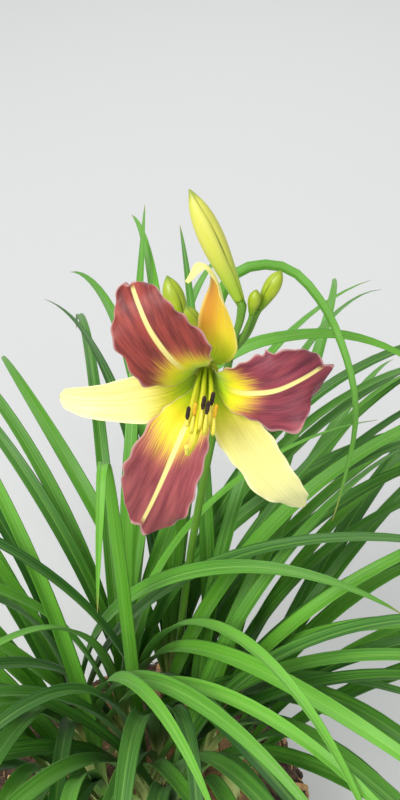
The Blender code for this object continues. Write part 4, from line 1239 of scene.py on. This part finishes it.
def stem_strands(low_fork):
    """The stalk, the stem behind the bloom and a stem to each bud."""
    steps = np.linspace(0, 1, 60)
    strands = [round_strand(stalk_path(steps), STALK_RADIUS * (1 - 0.30 * steps), dry=0.0)]
    back, near = in_world(TUBE_BACK), in_world(TUBE_NEAR_BACK)
    path = stem_path(back, normalised(near - back), low_fork, (0, 3, -2))
    strands.append(round_strand(path, np.full(15, 2.3 * MM), dry=0.0))
    for name, (_, _, radius, bow) in BUDS.items():
        seat, tip = bud_ends(name)
        start = STALK_FORK if name == "bud_large" else low_fork
        radii = np.linspace(1.9 * MM, max(1.3 * MM, 0.4 * radius * MM), 15)
        strands.append(round_strand(stem_path(seat, normalised(tip - seat), start, bow), radii, dry=0.0))
    return strands


def bract_strand(fork, turn, length, lean):
    """A small leafy bract at the fork of the stalk."""
    leaf = {
        "foot": tuple(fork + np.array([0.6 * math.cos(turn), 0.6 * math.sin(turn), -5.0]) * MM),
        "turn": turn,
        "lean": lean * 0.4,
        "droop": lean * 1.6,
        "late": 1.2,
        "drift": 0.0,
        "twist": 0.0,
        "length": length * MM,
        "width": 7 * MM,
    }
    along, points, _, sides, uppers = leaf_run(leaf, 16)
    half = leaf_half_width(leaf, along)[:, None]
    fold = leaf_fold(along)[:, None]
    out, rise = sides * half * np.cos(fold), uppers * half * np.sin(fold)
    return strand(points, out, rise, uppers * 0.35 * MM, along, dry=np.clip((along - 0.3) * 2, 0, 1))


def thread_strand(controls):
    """A stamen's thread through its control points."""
    steps = np.linspace(0, 1, 30)
    radii = np.interp(steps, [0, 0.45, 0.85, 1], [1.0, 1.3, 1.15, 0.6])
    return round_strand(in_world(smooth_values(controls, steps)), radii * MM)


def anther_strand(controls):
    """The pollen sac on a thread's tip, which bends from the thread's heading to the anthers' own slant."""
    near, tip = smooth_values(controls, [0.875, 1.0])
    heading = normalised(tip - near)
    steps = np.array([0, 0.06, 0.12, 0.2, 0.32, 0.45, 0.58, 0.72, 0.84, 0.93, 0.98, 1])
    ahead = np.clip(steps, 0, 0.12)[:, None] * heading * ANTHER_LENGTH
    slanted = np.clip(steps - 0.06, 0, 1)[:, None] / 0.94 * normalised(np.array(ANTHER_SLANT)) * ANTHER_LENGTH
    girth = 1.15 * np.array([0.25, 0.6, 0.8, 0.95, 1.02, 1, 0.97, 1.0, 0.95, 0.75, 0.5, 0.15])
    return round_strand(in_world(tip + heading * 0.3 + ahead + slanted), girth * MM, flat=0.85)


def pistil_strand():
    """The pistil's style, a little wider at its stigma."""
    radii = 0.95 * np.concatenate([np.linspace(1.0, 1.1, 36), [1.1, 1.2, 1.3, 1.2]])
    return round_strand(in_world(smooth_values(PISTIL, np.linspace(0, 1, 40))), radii * MM)


def tube_strand():
    """The tube behind the bloom, which widens into the throat."""
    controls = [TUBE_BACK, TUBE_NEAR_BACK, (0, -0.2, -24), (0, 0, -12), (0, 0, -3), (0, 0, -0.6)]
    steps = np.linspace(0, 1, 40)
    radii = smooth_values([2.4, 3.4, 3.0, 3.4, 5.6, 7.2], steps)
    return round_strand(in_world(smooth_values(controls, steps)), radii * MM)


def clod_surface(turn, place, grow=0.0):
    """A point on the clod: turn is the angle round it, place runs from its top centre (0) to its foot (1)."""
    wide, high = smooth_values(CLOD_OUTLINE, [place])[0]
    bumps = math.sin(2 * turn + 0.7) + 0.7 * math.sin(3 * turn + 5 * high)
    bumps += 0.5 * math.sin(7 * turn - 6 * high)
    radius = CLOD_RADIUS * wide * (1 + CLOD_BUMPS * bumps) + grow
    return np.array([radius * math.cos(turn), radius * math.sin(turn), CLOD_HEIGHT * high])


def root_path(number, stations):
    """A fleshy root: out of the crown, over the clod's shoulder and down its side."""
    draw = random.Random(ROOT_SEED + number)
    start = (number + draw.uniform(-0.2, 0.2)) * 2 * math.pi / ROOT_COUNT
    wander = draw.uniform(-0.30, 0.30)
    wave = draw.uniform(0, 2 * math.pi)
    end = draw.uniform(0.70, 0.90)
    points = []
    for step in np.linspace(0, 1, stations):
        turn = start + wander * step + 0.07 * math.sin(6 * step + wave)
        points.append(clod_surface(turn, 0.28 + (end - 0.28) * step, 0.4 * MM))
    inside = CROWN_RADIUS * 0.8
    points[0] = np.array([inside * math.cos(start), inside * math.sin(start), CROWN_TOP - 11 * MM])
    return np.array(points), draw


def fleshy_root(number):
    """A root that swells along its middle and draws in to a rounded tip."""
    controls, draw = root_path(number, 6)
    steps = np.linspace(0, 1, 40)
    swell = draw.uniform(0.45, 0.75)
    radii = (ROOT_RADIUS + ROOT_SWELLING * np.exp(-(((steps - swell) / 0.17) ** 2))) * (1 - 0.55 * steps**2)
    tip = 0.12 + 0.88 * np.sqrt(np.clip((1 - steps) * 9, 0, 1))
    rings = 1 + 0.04 * np.sin(steps * 70 + number)
    return round_strand(smooth_values(controls, steps), radii * tip * rings, draw.random())


def rootlet(draw):
    """A fine root that wanders over the face of the clod."""
    turn = draw.uniform(0, 2 * math.pi)
    place = draw.uniform(0.3, 0.75)
    drift, fall = draw.gauss(0, 0.35), draw.uniform(0.1, 0.35)
    count = 14
    points = []
    for step in np.linspace(0, 1, count):
        wobble = 0.05 * math.sin(9 * step + turn * 7)
        points.append(clod_surface(turn + (drift + wobble) * step, min(0.93, place + fall * step), 0.6 * MM))
    radius = draw.uniform(0.35, 0.9) * MM
    return round_strand(np.array(points), radius * np.linspace(1, 0.3, count), draw.random())


def lumps(point, *sizes):
    """A height in millimetres from noise at a point, summed over pairs of a scale and a strength."""
    return sum(noise.noise(Vector(point * scale)) * strength for scale, strength in sizes)


def clod_mesh(finish):
    """The clod with lumps and hollows, flat underneath."""
    rows, columns = 70, 190
    grid = np.empty((rows, columns, 3))
    for row, place in enumerate(np.linspace(0.05, 1.0, rows)):
        for column in range(columns):
            point = clod_surface(column * 2 * math.pi / columns, place)
            lump = lumps(point, (30, 3.4), (95, 1.5), (260, 0.8))
            rounded = min(1.0, point[2] / (6 * MM))
            outward = normalised(np.array([point[0], point[1], 0.55 * max(0.0, point[2] - 0.06)]))
            grid[row, column] = point + outward * (lump - 0.9) * MM * rounded
            grid[row, column, 2] = min(max(grid[row, column, 2], 0.0), CLOD_HEIGHT + 2.5 * MM)
    grid[-1, :, 2] = 0.0
    mesh = grid_mesh("earth_clod_face", grid[::-1], True, finish)
    face_outward(mesh)
    return mesh


def crumbs_mesh(face, settings, finish):
    """Crumbs of soil on the clod's face, but for those that would reach below the floor."""
    values = {"Density": settings.crumb_density, "Finish": finish}
    mesh = grown_mesh("earth_crumbs", face.copy(), tree_named("scattered_crumbs", crumb_tree), values)
    shape = bmesh.new()
    shape.from_mesh(mesh)
    waiting = [vertex for vertex in shape.verts if vertex.co.z < 0.3 * MM]
    dropped = set()
    while waiting:
        vertex = waiting.pop()
        if vertex not in dropped:
            dropped.add(vertex)
            waiting += [edge.other_vert(vertex) for edge in vertex.link_edges]
    bmesh.ops.delete(shape, geom=list(dropped), context="VERTS")
    shape.to_mesh(mesh)
    shape.free()
    return mesh


def crown_mesh(finish):
    """The crown's matted top, knobbly with old leaf feet."""
    rows, columns = 34, 120
    grid = np.empty((rows, columns, 3))
    for row, (share, drop) in enumerate(smooth_values(CROWN_PROFILE, np.linspace(0, 1, rows))):
        for column in range(columns):
            turn = column * 2 * math.pi / columns
            lobes = 1 + CROWN_LOBES * (math.sin(3 * turn + 1.1) + 0.6 * math.sin(5 * turn))
            radius = CROWN_RADIUS * share * lobes
            point = np.array([radius * math.cos(turn), radius * math.sin(turn), CROWN_TOP + drop * MM])
            lump = lumps(point, (46, 2.6), (150, 1.2)) * MM
            grid[row, column] = point + UP * lump + normalised(point * [1, 1, 0]) * lump * 0.5
    mesh = grid_mesh("crown_face", grid, True, finish)
    face_outward(mesh)
    return mesh


def dry_sheath(place, plane, draw):
    """The papery foot of an old leaf, left standing beside a fan's neck."""
    x, y = fan_offset(draw.uniform(0, 2 * math.pi), plane)
    steps = np.linspace(0, 1, 12)
    height = draw.uniform(14, 40) * MM
    off = 1.06 + 0.25 * steps**2
    path = np.stack([place[0] + off * x, place[1] + off * y, CROWN_TOP - 1 * MM + height * steps], axis=1)
    outward = normalised(np.array([x, y, 0.0]))
    half = draw.uniform(2.2, 4.5) * MM * (1 - 0.8 * steps**1.5)[:, None]
    thick = np.tile(outward * 0.3 * MM, (12, 1))
    return strand(path, np.cross(UP, outward) * half, -outward * half * 0.35, thick, steps, draw.random())


# settings

class DaylilyLeafSettings(bpy.types.PropertyGroup):
    stations: IntProperty(
        name="Rings a Blade", description="Rings of points along each leaf blade", default=34, min=8, max=120
    )
    section_points: IntProperty(
        name="Section Points", description="Points round each blade's section", default=12, min=8, max=32
    )
    blade_thickness: FloatProperty(
        name="Blade Thickness", description="Thickness of a leaf at its keel",
        default=0.0009, min=0.0002, max=0.002, unit="LENGTH", precision=4,
    )
    old_colour: FloatVectorProperty(
        name="Old Leaf", description="Colour of the older leaves",
        default=colour(24, 84, 10), subtype="COLOR", size=3, min=0, max=1,
    )
    young_colour: FloatVectorProperty(
        name="Young Leaf", description="Colour of the younger leaves",
        default=colour(112, 186, 48), subtype="COLOR", size=3, min=0, max=1,
    )


class DaylilyBloomSettings(bpy.types.PropertyGroup):
    tepal_rows: IntProperty(
        name="Tepal Rows", description="Rows of faces along each petal and sepal", default=96, min=12, max=160
    )
    tepal_thickness: FloatProperty(
        name="Tepal Thickness", description="Thickness of a petal near its midrib",
        default=0.0007, min=0.0002, max=0.002, unit="LENGTH", precision=4,
    )
    petal_colour: FloatVectorProperty(
        name="Petal", description="Main colour of the petals",
        default=colour(152, 58, 48), subtype="COLOR", size=3, min=0, max=1,
    )
    petal_shade: FloatVectorProperty(
        name="Petal Shade", description="Darker patches of the petals",
        default=colour(108, 30, 28), subtype="COLOR", size=3, min=0, max=1,
    )
    sepal_colour: FloatVectorProperty(
        name="Sepal", description="Colour of the sepals",
        default=colour(239, 233, 146), subtype="COLOR", size=3, min=0, max=1,
    )
    eye_colour: FloatVectorProperty(
        name="Eye", description="Yellow around the throat",
        default=colour(238, 220, 30), subtype="COLOR", size=3, min=0, max=1,
    )
    throat_colour: FloatVectorProperty(
        name="Throat", description="Green inside the throat",
        default=colour(184, 214, 22), subtype="COLOR", size=3, min=0, max=1,
    )
    eye_reach: FloatProperty(
        name="Eye Reach", description="How far along a petal the yellow eye reaches",
        default=0.46, min=0.1, max=0.9, subtype="FACTOR",
    )


class DaylilyStalkSettings(bpy.types.PropertyGroup):
    stalk_colour: FloatVectorProperty(
        name="Stalk", description="Colour of the flower stalk",
        default=colour(84, 136, 42), subtype="COLOR", size=3, min=0, max=1,
    )
    bud_colour: FloatVectorProperty(
        name="Bud", description="Colour of the closed buds",
        default=colour(158, 178, 40), subtype="COLOR", size=3, min=0, max=1,
    )


class DaylilyClumpSettings(bpy.types.PropertyGroup):
    crumb_density: FloatProperty(
        name="Crumbs", description="Crumbs of soil on each square metre of the clod",
        default=14000.0, min=0.0, max=60000.0,
    )
    rootlets: IntProperty(
        name="Rootlets", description="Fine roots over the face of the clod", default=150, min=0, max=600
    )
    soil_colour: FloatVectorProperty(
        name="Soil", description="Lighter colour of the soil",
        default=colour(92, 68, 48), subtype="COLOR", size=3, min=0, max=1,
    )
    root_colour: FloatVectorProperty(
        name="Root", description="Colour of the fleshy roots",
        default=colour(160, 116, 70), subtype="COLOR", size=3, min=0, max=1,
    )


class DaylilyStageSettings(bpy.types.PropertyGroup):
    camera_distance: FloatProperty(
        name="Camera Distance", description="From the camera to the bloom's throat",
        default=0.62, min=0.2, max=3.0, unit="LENGTH",
    )
    camera_rise: FloatProperty(
        name="Camera Angle", description="How steeply the camera looks down",
        default=math.radians(45), min=0, max=math.radians(89), subtype="ANGLE",
    )
    floor_colour: FloatVectorProperty(
        name="Floor", description="Colour of the floor",
        default=(0.66, 0.66, 0.65), subtype="COLOR", size=3, min=0, max=1,
    )


# operators

class DAYLILY_OT_leaf_fans(bpy.types.Operator):
    """Grow the thirteen fans of arching leaves"""

    bl_idname = "daylily.leaf_fans"
    bl_label = "Leaf Fans"

    def execute(self, context):
        settings = context.scene.daylily_leaves
        finish = leaf_finish(settings)
        fans = fans_on_crown()
        for number, leaves in enumerate(place_leaves(fans)):
            draw = random.Random(BLADE_SEED + number)
            name = f"leaf_fan_{number + 1:02d}"
            strands = []
            for leaf in leaves:
                stations = settings.stations * (2 if "through" in leaf else 1)
                strands.append(leaf_strand(leaf, stations, draw, settings))
            blades = swept_mesh(name + "_blades", strands, settings.section_points, finish)
            neck = neck_mesh(name + "_neck", *fans[number], finish)
            as_piece(name + "_grown", joined_mesh(name + "_grown", [blades, neck]), name)
        return {"FINISHED"}


class DAYLILY_OT_tepals(bpy.types.Operator):
    """Open the bloom's three petals and three sepals"""

    bl_idname = "daylily.tepals"
    bl_label = "Petals and Sepals"

    def execute(self, context):
        settings = context.scene.daylily_bloom
        rose, shade = tuple(settings.petal_colour), tuple(settings.petal_shade)
        plum, dusk = (colour(140, 50, 66), colour(102, 26, 46)), (colour(160, 74, 78), colour(122, 44, 54))
        pale, reach = tuple(settings.sepal_colour), settings.eye_reach
        amber, cream = colour(230, 190, 40), colour(240, 232, 132)
        finishes = {
            "petal_upper_left": petal_finish("petal_rose", rose, shade, settings, reach, 0.0),
            "petal_right": petal_finish("petal_plum", *plum, settings, reach + 0.05, -0.001),
            "petal_lower": petal_finish("petal_dusk", *dusk, settings, reach + 0.13, -0.004),
            "sepal_left": sepal_finish("sepal_pale", pale, colour(246, 242, 188), settings),
            "sepal_top": sepal_finish("sepal_amber", amber, cream, settings, rust=0.7),
        }
        finishes["sepal_lower_right"] = finishes["sepal_left"]
        for name, shape in TEPALS.items():
            blade = tepal_mesh(name + "_open", shape, settings, finishes[name])
            as_piece(name + "_open", blade, name)
        return {"FINISHED"}


class DAYLILY_OT_stamens(bpy.types.Operator):
    """Set the stamens and the pistil in the throat"""

    bl_idname = "daylily.stamens"
    bl_label = "Stamens and Pistil"

    def execute(self, context):
        yellow = thread_finish()
        dark = anther_finish("anther_dark", colour(26, 16, 12), colour(78, 50, 30))
        orange = anther_finish("anther_orange", colour(216, 158, 12), colour(246, 204, 44))
        for name, controls in STAMENS.items():
            thread = swept_mesh(name + "_thread", [thread_strand(controls)], 14, yellow)
            as_piece(name + "_thread", thread, name + "_filament")
            finish = orange if name in ORANGE_ANTHERS else dark
            pollen = swept_mesh(name + "_pollen", [anther_strand(controls)], 14, finish)
            as_piece(name + "_pollen", pollen, name + "_anther")
        style = swept_mesh("pistil_style", [pistil_strand()], 14, yellow)
        as_piece("pistil_style", style, "pistil")
        return {"FINISHED"}


class DAYLILY_OT_stalk(bpy.types.Operator):
    """Raise the flower stalk with its fork, side stems, bracts and the bloom's tube"""

    bl_idname = "daylily.stalk"
    bl_label = "Flower Stalk"

    def execute(self, context):
        finish = stalk_finish(context.scene.daylily_stalk)
        before, fork = stalk_path(np.linspace(0, 1, 9))[-2:]
        low_fork = fork - (fork - before) * 0.18
        stems = swept_mesh("flower_stalk_stems", stem_strands(low_fork), 16, finish)
        bracts = [bract_strand(low_fork, *bract) for bract in BRACTS]
        leafy = swept_mesh("flower_stalk_bracts", bracts, 12, finish)
        grown = joined_mesh("flower_stalk_grown", [stems, leafy])
        as_piece("flower_stalk_grown", grown, "flower_stalk")
        tube = swept_mesh("perianth_tube_grown", [tube_strand()], 24, tube_finish())
        as_piece("perianth_tube_grown", tube, "perianth_tube")
        return {"FINISHED"}


class DAYLILY_OT_buds(bpy.types.Operator):
    """Place the five closed buds"""

    bl_idname = "daylily.buds"
    bl_label = "Buds"

    def execute(self, context):
        settings = context.scene.daylily_stalk
        green = bud_finish("bud_green", tuple(settings.bud_colour), colour(112, 160, 30))
        ripe = bud_finish("bud_ripe", colour(212, 210, 92), colour(150, 186, 52))
        for name in BUDS:
            finish = ripe if name == "bud_large" else green
            as_piece(name + "_closed", bud_mesh(name, finish), name)
        return {"FINISHED"}


class DAYLILY_OT_clump(bpy.types.Operator):
    """Form the clod of earth, the crown and the roots"""

    bl_idname = "daylily.clump"
    bl_label = "Earth and Roots"

    def execute(self, context):
        settings = context.scene.daylily_clump
        earth = earth_finish(settings)
        face = clod_mesh(earth)
        crumbs = crumbs_mesh(face, settings, earth)
        as_piece("earth_clod_grown", joined_mesh("earth_clod_grown", [face, crumbs]), "earth_clod")
        tan = root_finish(settings)
        draw = random.Random(FINE_SEED)
        fleshy = swept_mesh("fleshy_roots", [fleshy_root(number) for number in range(ROOT_COUNT)], 16, tan)
        fine = swept_mesh("fine_roots", [rootlet(draw) for _ in range(settings.rootlets)], 6, tan)
        sheaths = [dry_sheath(place, plane, draw) for place, plane in fans_on_crown() for _ in range(5)]
        dry = swept_mesh("dry_sheaths", sheaths, 10, dry_finish())
        crown = crown_mesh(crown_finish())
        joined = joined_mesh("crown_and_roots_grown", [crown, fleshy, fine, dry])
        as_piece("crown_and_roots_grown", joined, "crown_and_roots")
        return {"FINISHED"}


class DAYLILY_OT_stage(bpy.types.Operator):
    """Set the floor, the soft light and the camera"""

    bl_idname = "daylily.stage"
    bl_label = "Stage"

    def execute(self, context):
        settings = context.scene.daylily_stage
        self.add_floor(settings)
        self.add_lights(context)
        self.add_camera(context, settings)
        return {"FINISHED"}

    def add_floor(self, settings):
        mesh = bpy.data.meshes.new("floor")
        corners = [(x * FLOOR_HALF, y * FLOOR_HALF, 0) for x, y in ((-1, -1), (1, -1), (1, 1), (-1, 1))]
        mesh.from_pydata(corners, [], [(0, 1, 2, 3)])
        f = Finish("floor_pale", 0.9)
        f.paint(tuple(settings.floor_colour))
        mesh.materials.append(f.material)
        floor = bpy.data.objects.new("floor", mesh)
        bpy.context.scene.collection.objects.link(floor)

    def add_lights(self, context):
        world = bpy.data.worlds.new("soft_room")
        world.use_nodes = True
        background = world.node_tree.nodes["Background"].inputs
        background["Color"].default_value = (0.95, 0.98, 1.0, 1.0)
        background["Strength"].default_value = 0.56
        context.scene.world = world
        context.scene.view_settings.view_transform = "Standard"
        for name, place, size, power in (
            ("key", (-1.2, -1.1, 2.4), 1.1, 52.0),
            ("fill", (0.35, -1.5, 1.7), 1.0, 9.0),
            ("back", (0.3, 1.9, 2.0), 1.4, 20.0),
        ):
            light = bpy.data.lights.new(name, "AREA")
            light.shape = "SQUARE"
            light.size = size
            light.energy = power
            lamp = bpy.data.objects.new(name, light)
            lamp.location = place
            lamp.rotation_euler = (Vector((0.03, 0, 0.5)) - Vector(place)).to_track_quat("-Z", "Y").to_euler()
            context.scene.collection.objects.link(lamp)

    def add_camera(self, context, settings):
        """The camera looks along +Y and down, so that the throat lies at its pixel of the picture."""
        width, height = PICTURE_SIZE
        distance, rise = settings.camera_distance, settings.camera_rise
        toward = Vector((0, -math.cos(rise), math.sin(rise)))
        up = Vector((0, math.sin(rise), math.cos(rise)))
        to_right = (THROAT_PIXEL[0] - width / 2) / FOCAL_PIXELS * distance
        above = (height / 2 - THROAT_PIXEL[1]) / FOCAL_PIXELS * distance
        place = Vector(BLOOM_CENTRE) + toward * distance - Vector((1, 0, 0)) * to_right - up * above
        data = bpy.data.cameras.new("camera")
        data.sensor_fit = "VERTICAL"
        data.sensor_height = SENSOR_HEIGHT
        data.lens = SENSOR_HEIGHT * FOCAL_PIXELS / height
        data.clip_start = 0.01
        camera = bpy.data.objects.new("camera", data)
        camera.location = place
        camera.rotation_euler = (math.pi / 2 - rise, 0, 0)
        context.scene.collection.objects.link(camera)
        context.scene.camera = camera


class DAYLILY_PT_panel(bpy.types.Panel):
    """The daylily's pieces and their settings"""

    bl_label = "Daylily Plant"
    bl_idname = "DAYLILY_PT_panel"
    bl_space_type = "VIEW_3D"
    bl_region_type = "UI"
    bl_category = "Daylily"

    def draw(self, context):
        scene = context.scene
        for operator, group in (
            ("daylily.clump", scene.daylily_clump),
            ("daylily.leaf_fans", scene.daylily_leaves),
            ("daylily.stalk", scene.daylily_stalk),
            ("daylily.buds", None),
            ("daylily.tepals", scene.daylily_bloom),
            ("daylily.stamens", None),
            ("daylily.stage", scene.daylily_stage),
        ):
            box = self.layout.box()
            box.operator(operator)
            if group:
                for key in group.__annotations__:
                    box.prop(group, key)


CLASSES = (
    DaylilyLeafSettings,
    DaylilyBloomSettings,
    DaylilyStalkSettings,
    DaylilyClumpSettings,
    DaylilyStageSettings,
    DAYLILY_OT_leaf_fans,
    DAYLILY_OT_tepals,
    DAYLILY_OT_stamens,
    DAYLILY_OT_stalk,
    DAYLILY_OT_buds,
    DAYLILY_OT_clump,
    DAYLILY_OT_stage,
    DAYLILY_PT_panel,
)
GROUPS = {
    "daylily_leaves": DaylilyLeafSettings,
    "daylily_bloom": DaylilyBloomSettings,
    "daylily_stalk": DaylilyStalkSettings,
    "daylily_clump": DaylilyClumpSettings,
    "daylily_stage": DaylilyStageSettings,
}


def register():
    for cls in CLASSES:
        bpy.utils.register_class(cls)
    for name, group in GROUPS.items():
        setattr(bpy.types.Scene, name, PointerProperty(type=group))


def unregister():
    for name in GROUPS:
        delattr(bpy.types.Scene, name)
    for cls in reversed(CLASSES):
        bpy.utils.unregister_class(cls)


def main():
    """Builds the whole scene."""
    register()
    bpy.ops.daylily.stage()
    bpy.ops.daylily.clump()
    bpy.ops.daylily.leaf_fans()
    bpy.ops.daylily.stalk()
    bpy.ops.daylily.buds()
    bpy.ops.daylily.tepals()
    bpy.ops.daylily.stamens()


if __name__ == "__main__":
    main()
